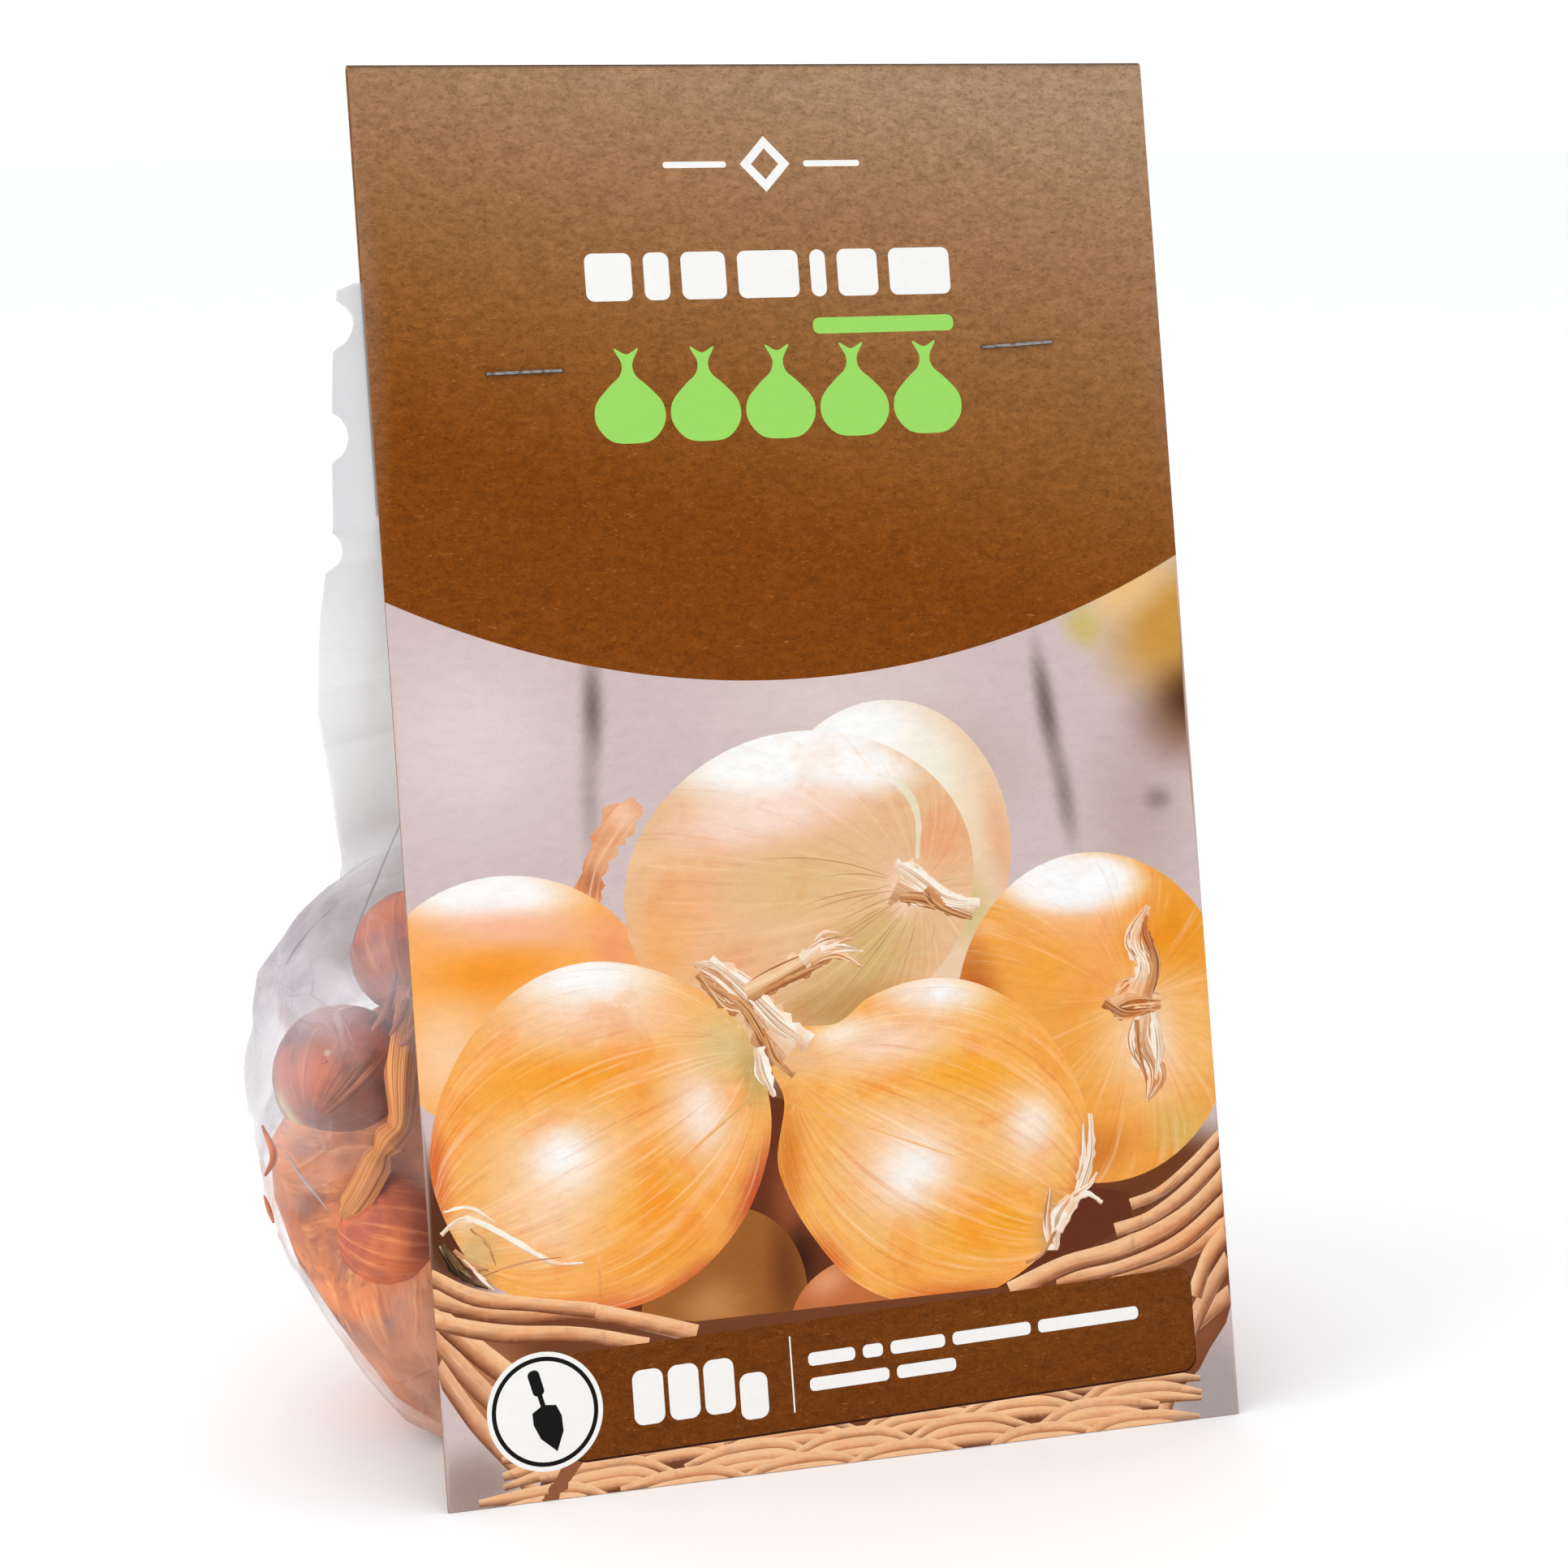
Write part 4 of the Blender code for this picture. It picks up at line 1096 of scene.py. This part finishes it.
tuft(  # the left bulb's neck, laid back to the right
    (((-13, 75.5), (-8, 77.4), (-3, 79.6), (1, 81)), (1.3, 1.7, 1.9, 1.1), "tan"),
    (((-3, 79.6), (1.5, 82.6), (5.4, 83)), (1.5, 1.1, 0.2), "straw"),
    (((-2, 79.8), (2.6, 81), (6.8, 78.4)), (1.3, 1.0, 0.2), "tan"),
    (((0, 81.5), (3.5, 81.6), (7.2, 80.8)), (0.8, 0.6, 0.1), "cream"),
    (((-10, 75.6), (-5, 77.4), (0, 79.2)), (0.4, 0.6, 0.2), "umber"),
    (((-1, 83), (1, 84.2), (3.4, 84)), (0.3, 0.5, 0.1), "straw"),
)
tuft(  # the middle bulb's neck
    (((14, 92), (17.5, 90), (21, 88.3), (26.5, 86)), (3.6, 2.6, 1.5, 1.3), "straw"),
    (((13.5, 94.5), (18, 91.2), (22, 88.2), (27.5, 87)), (1.0, 1.3, 0.9, 0.9), "cream"),
    (((14, 89), (18, 88.4), (22, 86.2), (26, 84.6)), (0.7, 0.9, 0.6, 0.2), "umber"),
    (((18.4, 90), (20, 88.2), (21.5, 87)), (0.9, 1.0, 0.3), "umber"),
)
tuft(  # the right bulb's neck, with wisps above and below
    (((49, 68), (53, 69.4), (58, 69)), (1.6, 3.2, 1.2), "tan"),
    (((54, 70), (55.6, 75), (54, 79), (57, 84.5)), (2.0, 1.3, 1.9, 0.4), "straw"),
    (((56, 70), (57.4, 75), (56, 80), (56.5, 83)), (0.8, 0.9, 0.9, 0.2), "umber"),
    (((55, 68), (54, 62), (56, 57), (54.2, 52.6)), (1.6, 2.3, 1.9, 0.3), "straw"),
    (((56.5, 67), (57, 61), (56, 56)), (0.8, 0.9, 0.2), "cream"),
    (((53.5, 66), (53.4, 61), (54.5, 56)), (0.4, 0.6, 0.2), "umber"),
    (((48, 69.5), (51.5, 67.2), (56, 67.4)), (0.9, 0.9, 0.3), "umber"),
)
tuft(  # roots and torn skin at the front right bulb's lower side
    (((36, 30), (36.6, 35), (39.5, 38.5)), (0.9, 1.5, 0.5), "cream"),
    (((35.5, 31), (35.2, 35), (36.2, 40)), (0.5, 0.7, 0.2), "straw"),
    (((37, 33), (41, 39), (43.6, 45), (44, 51.5)), (0.7, 0.9, 0.8, 0.3), "cream"),
    (((39.5, 37), (42.5, 38.5), (45, 36.8)), (0.4, 0.5, 0.3), "cream"),
    (((40, 38.5), (43, 40), (44.6, 41.8)), (0.3, 0.4, 0.2), "straw"),
    (((41, 41), (42.4, 45), (42.8, 50)), (0.3, 0.5, 0.2), "straw"),
    (((31, 28.4), (34, 29.8), (36.4, 33)), (0.3, 0.4, 0.2), "umber"),
)
tuft(  # root plate and a peeled line of skin on the front left bulb
    (((-64.8, 41), (-63, 37.6), (-60.6, 35.4)), (0.5, 0.9, 0.5), "dark"),
    (((-63.6, 38.6), (-61.4, 35.6), (-57.8, 33.6)), (0.3, 0.6, 0.2), "dark"),
    (((-62.8, 40), (-60.4, 37.6), (-57.6, 36.4)), (0.3, 0.5, 0.2), "umber"),
    (((-61.5, 38.5), (-58.5, 35), (-57, 33.2)), (0.2, 0.3, 0.15), "straw"),
    (
        ((-64.6, 42.5), (-61.5, 44.6), (-58, 43.6), (-52, 39.6), (-47, 36.4), (-42.5, 36)),
        (0.3, 0.45, 0.4, 0.5, 0.4, 0.15), "cream"
    ),
    (((-64, 46), (-60, 46.4), (-56, 43.6)), (0.15, 0.3, 0.15), "cream"),
    (((-60, 43), (-57.5, 40.5), (-56.4, 37)), (0.15, 0.25, 0.1), "umber"),
    (((-58.6, 35.6), (-52, 37), (-46, 37.2)), (0.12, 0.16, 0.06), "umber"),
)

# Basket: peeled withies round the rim, and the weave under the band.
region(
    [
        (-67, 37), (-52, 30), (-25, 25), (30, 25), (50, 33), (67, 46), (67, 18), (60, 8), (50, -0.5), (-49, -0.5),
        (-56, 8), (-67, 22)
    ],
    soft_print,
    shade(
        (116, 64, 38), ((186, 124, 86), -60, 18, 12, 16), ((142, 84, 56), 60, 16, 10, 12),
        ((110, 58, 36), 44, 30, 12, 5, 10)
    )
)
WITHY = ((255, 212, 166), (232, 162, 112), (112, 58, 30))
SOFT_WITHY = ((244, 192, 150), (218, 154, 112), (128, 74, 48))
for route, wide, tones in (
    (((-67, 27), (-60, 18), (-52, 9), (-46, -1)), 1.5, SOFT_WITHY),
    (((-67, 23), (-61, 13), (-55, 5), (-52, -1)), 1.3, SOFT_WITHY),
    (((-67, 31), (-58, 22), (-48, 14), (-40, 10)), 1.7, WITHY),
    (((-67, 29.4), (-56, 26.4), (-44, 25), (-33, 22)), 1.3, WITHY),
    (((-67, 33), (-56, 29.6), (-44, 28.6), (-34, 26), (-25, 23)), 1.5, WITHY),
    (((-67, 36.4), (-60, 32.4), (-51, 30.4), (-41, 28.4)), 1.2, WITHY),
    (((67, 20), (58, 14), (50, 6), (46, -1)), 1.5, SOFT_WITHY),
    (((67, 26), (61, 18), (56, 8), (52, -1)), 1.3, SOFT_WITHY),
    (((67, 31), (58, 27), (48, 25), (38, 23)), 1.6, WITHY),
    (((67, 35), (58, 29), (46, 26), (36, 25)), 1.4, WITHY),
    (((67, 39), (58, 32.6), (48, 29), (38, 27.4), (28, 24)), 1.7, WITHY),
    (((67, 42.6), (60, 37), (53, 33.4), (47, 32)), 1.3, WITHY),
    (((67, 46), (61, 41), (55, 37.4), (50, 36)), 1.0, WITHY),
    (((66.9, 30), (63, 26), (60, 20)), 1.4, WITHY),
):
    rod(route, (wide, wide * 1.1, wide * 0.9, wide), *tones, seed=len(regions))
for row, level in enumerate((8.6, 5.6, 2.4, -0.6)):
    for i in range(-3, 4):
        x = i * 19.4 + (9.7 if row % 2 else 0) + 2.2 * math.sin(i * 2.3 + row * 1.7)
        if abs(x) > 52:
            continue
        slope = 0.09 * (x / 40)
        for up, wide in ((1.2, 1.15), (-0.6, 1.3), (-2.0, 1.0)):
            bow = 1.5 + 0.5 * math.sin(i + up)
            ends = [
                (x - 11, level - bow + up - slope * 11), (x - 4, level + 0.5 + up), (x + 4.5, level + 0.6 + up),
                (x + 11.5, level - bow + up + slope * 11)
            ]
            rod(ends, (0.5 * wide, wide, wide, 0.4 * wide), *WITHY, seed=len(regions))
region([(-52, -0.5), (-49.6, -0.5), (-44, 6), (-46.4, 7)], soft_print, shade((150, 92, 62)))

# Brown above a curved edge. The same board shows plain on the back flap.
KRAFT_LOW, KRAFT_HIGH = np.array([141.0, 73, 10]), np.array([189.0, 153, 124])


def kraft(x, s):
    leftward = (66 - x) / 132
    rise = unit((s - 126 - 41 * leftward) / (88 - 19 * leftward))[:, None]
    return KRAFT_LOW + (KRAFT_HIGH - KRAFT_LOW) * rise


arc = [
    (x, 125 + 15.6 * (x / 66.5) ** 2 + 0.012 * x + 0.6 * (x / 66.5) ** 4) for x in np.linspace(-edge_x, edge_x, 90)
]
region([*arc, (edge_x, STRIP), (-edge_x, STRIP)], kraft_print, kraft)


STEPS = 9  # points round each corner


def rounded(x0, x1, s0, s1, r, tilt=0.0):
    """Rounded rectangle, its upper and lower edges rising tilt mm for each mm to the right."""
    made = []
    for cx, cs, start in ((x1 - r, s0 + r, -90), (x1 - r, s1 - r, 0), (x0 + r, s1 - r, 90), (x0 + r, s0 + r, 180)):
        for step in range(STEPS):
            t = math.radians(start + step * 90 / (STEPS - 1))
            x, s = cx + r * math.cos(t), cs + r * math.sin(t)
            made.append((x, s + tilt * x))
    return made


WHITE_INK, GREEN_INK, BLACK_INK = shade((250, 249, 246)), shade((158, 222, 102)), shade((22, 20, 20))
BAND_TILT = 0.0262
region(rounded(-46.5, 59.6, 6.25, 23.4, 2.5, BAND_TILT), solid_ink, shade((58, 24, 8)))
region(
    rounded(-46.5, 59.5, 6.6, 23.4, 2.5, BAND_TILT), kraft_print,
    shade((124, 64, 12), ((130, 70, 16), 30, 18, 40, 10))
)
region(oval(-50.2, 13.7, 9.25, 9.25, steps=60), solid_ink, WHITE_INK)
region(oval(-50.2, 13.7, 8.5, 8.5, steps=60), solid_ink, BLACK_INK)
region(oval(-50.2, 13.7, 7.8, 7.8, steps=60), solid_ink, WHITE_INK)


def turned(points, x, s, degrees):
    """Points turned about their own middle and set down at x, s."""
    c, q = math.cos(math.radians(degrees)), math.sin(math.radians(degrees))
    return [(x + u * c - v * q, s + u * q + v * c) for u, v in points]


# A plain hand trowel in the disc, and plain marks where the printed words would be.
region(
    turned(
        [(-2.0, 0.6), (-2.35, -1.2), (-1.9, -3.6), (0, -6.3), (1.9, -3.6), (2.35, -1.2), (2.0, 0.6), (0, 1.3)], -50.2,
        13.5, 14
    ),
    solid_ink, BLACK_INK
)
region(turned([(-0.4, 1.0), (0.4, 1.0), (0.4, 3.0), (-0.4, 3.0)], -50.2, 13.5, 14), solid_ink, BLACK_INK)
region(turned(rounded(-0.95, 0.95, 2.8, 6.9, 0.8), -50.2, 13.5, 14), solid_ink, BLACK_INK)
for x0, x1, s0, s1 in (
    (-36, -31, 9.9, 18.5), (-30.2, -25.2, 9.9, 18.5), (-24.4, -19.4, 9.9, 18.5), (-18.6, -14, 8.3, 15.6)
):
    region(rounded(x0, x1, s0 + 0.8, s1 + 0.8, 1.5, BAND_TILT), solid_ink, WHITE_INK)
region(rounded(-9.95, -9.7, 8.9, 21.0, 0.1), solid_ink, WHITE_INK)
for x0, x1 in ((-7, 0.9), (2.2, 5.6), (6.9, 16.2), (17.5, 31.0), (32.3, 49.9)):
    region(rounded(x0, x1, 16.1, 18.2, 0.8, BAND_TILT), solid_ink, WHITE_INK)
for x0, x1 in ((-7, 6.4), (7.7, 17.8)):
    region(rounded(x0, x1, 12.1, 14.2, 0.8, BAND_TILT), solid_ink, WHITE_INK)
for x0, x1 in ((-17, -6.5), (6.5, 16)):
    region(rounded(x0, x1, 207.2, 208.2, 0.45), solid_ink, WHITE_INK)
region([(0, 203.2), (4.2, 207.7), (0, 212.2), (-4.2, 207.7)], solid_ink, WHITE_INK)
region([(0, 205.2), (2.3, 207.7), (0, 210.2), (-2.3, 207.7)], kraft_print, kraft)
for x0, x1 in ((-31, -23.4), (-21.4, -17.2), (-15.2, -7.8), (-5.8, 4.4), (6.4, 9.0), (11.0, 17.8), (19.8, 30.2)):
    region(rounded(x0, x1, 186.2, 193.8, 1.3), solid_ink, WHITE_INK)
region(rounded(6.2, 30.2, 180.2, 182.8, 1.1), solid_ink, GREEN_INK)
BULB_MARK = [
    (0, 0.4), (3.4, 0.9), (5.6, 3.6), (5.5, 6.8), (3.2, 9.6), (1.3, 11.4), (0.9, 13.4), (2.0, 15.8), (0, 14.8),
    (-2.0, 15.8), (-0.9, 13.4), (-1.3, 11.4), (-3.2, 9.6), (-5.5, 6.8), (-5.6, 3.6), (-3.4, 0.9)
]
for x in (-25.2, -12.7, -0.2, 12.3, 24.8):
    region([(x + u, 163.2 + v * 0.98) for u, v in blob(BULB_MARK, 4)], solid_ink, GREEN_INK)


# The strip is cut along every outline, then bent over its fold.
corners, links = [], []
for outline, *_ in regions:
    outline = outline.clip((-edge_x, 0), (edge_x, STRIP))
    first = len(corners)
    corners += [Vector(p) for p in outline]
    links += [(first + i, first + (i + 1) % len(outline)) for i in range(len(outline))]
FOLD_STEPS = 12
for step in range(FOLD_STEPS + 1):
    d = fold_start + math.pi * FOLD_RADIUS * step / FOLD_STEPS
    corners += [Vector((-edge_x, d)), Vector((edge_x, d))]
    links.append((len(corners) - 2, len(corners) - 1))
PICTURE_TOP, FINE, COARSE = 146, 1.25, 3.7  # mm up the strip, and between points below and above it
for s in np.arange(0, PICTURE_TOP, FINE):
    corners += [
        Vector((x + (0.3 if round(s / FINE) % 2 else -0.3), s)) for x in np.arange(-edge_x + 0.9, edge_x, FINE)
    ]
for s in np.arange(PICTURE_TOP + 1, STRIP, COARSE):
    corners += [Vector((x, s)) for x in np.linspace(-edge_x, edge_x, 38)[1:-1]]
flat_points, _, triangles, *_ = geometry.delaunay_2d_cdt(corners, links, [], 0, 1e-4)
flat_points = np.array([tuple(p) for p in flat_points])
triangles = np.array([tuple(t) for t in triangles])
side_a = flat_points[triangles[:, 1]] - flat_points[triangles[:, 0]]
side_b = flat_points[triangles[:, 2]] - flat_points[triangles[:, 0]]
area = side_a[:, 0] * side_b[:, 1] - side_a[:, 1] * side_b[:, 0]
triangles = triangles[np.abs(area) > 1e-7]
middles = flat_points[triangles].mean(1)


def covered(outline, points):
    """Which points lie inside an outline, counted by the edges that each one's row crosses."""
    inside = np.zeros(len(points), bool)
    low, high = outline.min(0), outline.max(0)
    near = np.flatnonzero(((points > low) & (points < high)).all(1))
    x, s = points[near, 0], points[near, 1]
    hit = np.zeros(len(near), bool)
    for (x0, s0), (x1, s1) in zip(outline, np.roll(outline, -1, 0)):
        if s0 == s1:
            continue
        crosses = (s0 > s) != (s1 > s)
        hit ^= crosses & (x < (x1 - x0) * (s - s0) / (s1 - s0) + x0)
    inside[near] = hit
    return inside


INK_STRENGTH = 0.845  # the share of light that the whitest print gives back
owner = np.zeros(len(triangles), int)
for i, (outline, *_) in enumerate(regions):
    if i:
        owner[covered(outline, middles)] = i
ink = np.zeros((len(triangles), 3, 4))
grown = np.zeros((len(triangles), 3, 3))
finish_of = np.zeros(len(triangles), int)
for i, (_, finish, paint, places) in enumerate(regions):
    mine = owner == i
    if mine.any():
        at = flat_points[triangles[mine].reshape(-1)]
        colour = np.clip(paint(at[:, 0], at[:, 1]), 0, 255) / 255
        colour = np.where(colour <= 0.04045, colour / 12.92, ((colour + 0.055) / 1.055) ** 2.4)
        ink[mine, :, :3] = INK_STRENGTH * colour.reshape(-1, 3, 3)
        finish_of[mine] = PRINTS.index(finish)
        if places:
            grown[mine] = places(at[:, 0], at[:, 1]).reshape(-1, 3, 3)
ink[..., 3] = 1.0

board_finish, wire, feed = new_finish("bare_board", Roughness=0.8, Specular_IOR_Level=0.3)
long, fine = paper(wire)
feed(
    Base_Color=wire.mix((long * 0.6 + fine * 0.4).between(0.32, 0.68), linear(128, 82, 46), linear(170, 124, 82)),
    Normal=wire.bump(long * 0.7 + fine * 0.3, 0.35, 0.0003),
)
points = [bend_card(x, d, 0.0) for x, d in flat_points]
faces = [tuple(t) for t in triangles]
pairs = {}
for t in faces:
    for a, b in ((t[0], t[1]), (t[1], t[2]), (t[2], t[0])):
        pairs[(a, b)] = True
rim = [(a, b) for a, b in pairs if (b, a) not in pairs]
under = {}
for a, b in rim:
    for k in (a, b):
        if k not in under:
            under[k] = len(points)
            points.append(bend_card(*flat_points[k], BOARD))
for a, b in rim:
    faces.append((b, a, under[a], under[b]))
inner_rows = [
    *np.linspace(0, fold_start, 40),
    *(fold_start + math.pi * FOLD_RADIUS * np.arange(1, FOLD_STEPS + 1) / FOLD_STEPS),
    *np.linspace(fold_start + math.pi * FOLD_RADIUS, STRIP, 14)[1:]
]
first, INNER_COLUMNS = len(points), 20
for d in inner_rows:
    points += [bend_card(x, d, BOARD) for x in np.linspace(-edge_x, edge_x, INNER_COLUMNS)]
for i in range(len(inner_rows) - 1):
    for j in range(INNER_COLUMNS - 1):
        a = first + i * INNER_COLUMNS + j
        faces.append((a, a + INNER_COLUMNS, a + INNER_COLUMNS + 1, a + 1))
card = mesh_piece("printed_header", points, faces, [*PRINTS, board_finish])
lie = []
for d in flat_points[:, 1]:
    roll = CARD_LEAN - min(math.pi, max(0.0, (d - fold_start) / FOLD_RADIUS))
    lie.append((0.0, -math.cos(roll), math.sin(roll)))
card.data.normals_split_custom_set_from_vertices(lie + [(0.0, 0.0, 0.0)] * (len(points) - len(lie)))
extra = len(faces) - len(triangles)
card.data.polygons.foreach_set("material_index", [*finish_of, *([len(PRINTS)] * extra)])
loops = len(card.data.loops) - len(triangles) * 3
write_field(card, "ink", np.concatenate([ink.reshape(-1, 4), np.ones((loops, 4))]))
write_field(card, "grown", np.concatenate([grown.reshape(-1, 3), np.zeros((loops, 3))]))
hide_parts("header_card")

# ---------------------------------------------------------------------------
# Staples. Two bright wire staples hold card and gathered film together; each is pushed
# through from the front and clinched behind.
# ---------------------------------------------------------------------------
staple_wire, wire, feed = new_finish("bright_wire", Metallic=1.0, Roughness=0.24)
here = wire.here()
drawn = wire.noise(wire.stretch(here, (0.08, 1.0, 1.0)), 5200.0, 3.0, 0.6)
tarnish = wire.noise(here, 900.0, 3.0, 0.6)
feed(
    Base_Color=wire.mix(tarnish.between(0.4, 0.7), linear(150, 148, 147), linear(96, 92, 90)),
    Roughness=0.18 + 0.25 * drawn,
    Normal=wire.bump(drawn, 0.3, 0.0001),
)
for node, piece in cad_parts.items():
    if node.startswith("staple"):
        piece.material_slots[0].material = staple_wire

# ---------------------------------------------------------------------------
# Studio. A flat white floor under a white sky, with soft light from the left and from above.
# ---------------------------------------------------------------------------
FLOOR_REACH = 6  # m each way
floor_look, wire, feed = new_finish("pale_floor", Roughness=0.85, Specular_IOR_Level=0.2)
floor_grain = wire.noise(wire.here(), 30.0, 3.0, 0.5)
feed(Base_Color=wire.mix(floor_grain, linear(243, 244, 246), linear(245, 246, 248)))
floor_mesh = bpy.data.meshes.new("studio_floor")
floor_mesh.from_pydata(
    [(FLOOR_REACH * x, FLOOR_REACH * y, 0) for x, y in ((-1, -1), (1, -1), (1, 1), (-1, 1))], [], [(0, 1, 2, 3)]
)
floor_mesh.materials.append(floor_look)
floor = bpy.data.objects.new("studio_floor", floor_mesh)
bpy.context.scene.collection.objects.link(floor)

sky = bpy.data.worlds.new("studio_sky")
sky.use_nodes = True
sky.node_tree.nodes["Background"].inputs["Color"].default_value = (1.0, 1.0, 1.0, 1.0)
sky.node_tree.nodes["Background"].inputs["Strength"].default_value = 1.085
bpy.context.scene.world = sky
for name, place, size, power in (
    ("key_light", (-1.0, -0.2, 0.42), 0.8, 4.6), ("top_light", (0.15, 0.7, 1.6), 1.2, 1.6)
):
    lamp = bpy.data.lights.new(name, "AREA")
    lamp.shape, lamp.size, lamp.energy = "SQUARE", size, power
    light = bpy.data.objects.new(name, lamp)
    light.location = place
    light.rotation_euler = (Vector((0.0, 0.0, 0.1)) - Vector(place)).to_track_quat("-Z", "Y").to_euler()
    bpy.context.scene.collection.objects.link(light)

lens = bpy.data.cameras.new("camera")
lens.lens, lens.sensor_width = 83.3, 36.0
camera = bpy.data.objects.new("camera", lens)
camera.location = (-0.1703, -0.5552, 0.2229)
camera.rotation_euler = (math.radians(90 - 11.71), 0.0, math.radians(-18))
bpy.context.scene.collection.objects.link(camera)
bpy.context.scene.camera = camera
bpy.context.scene.view_settings.view_transform = "Standard"
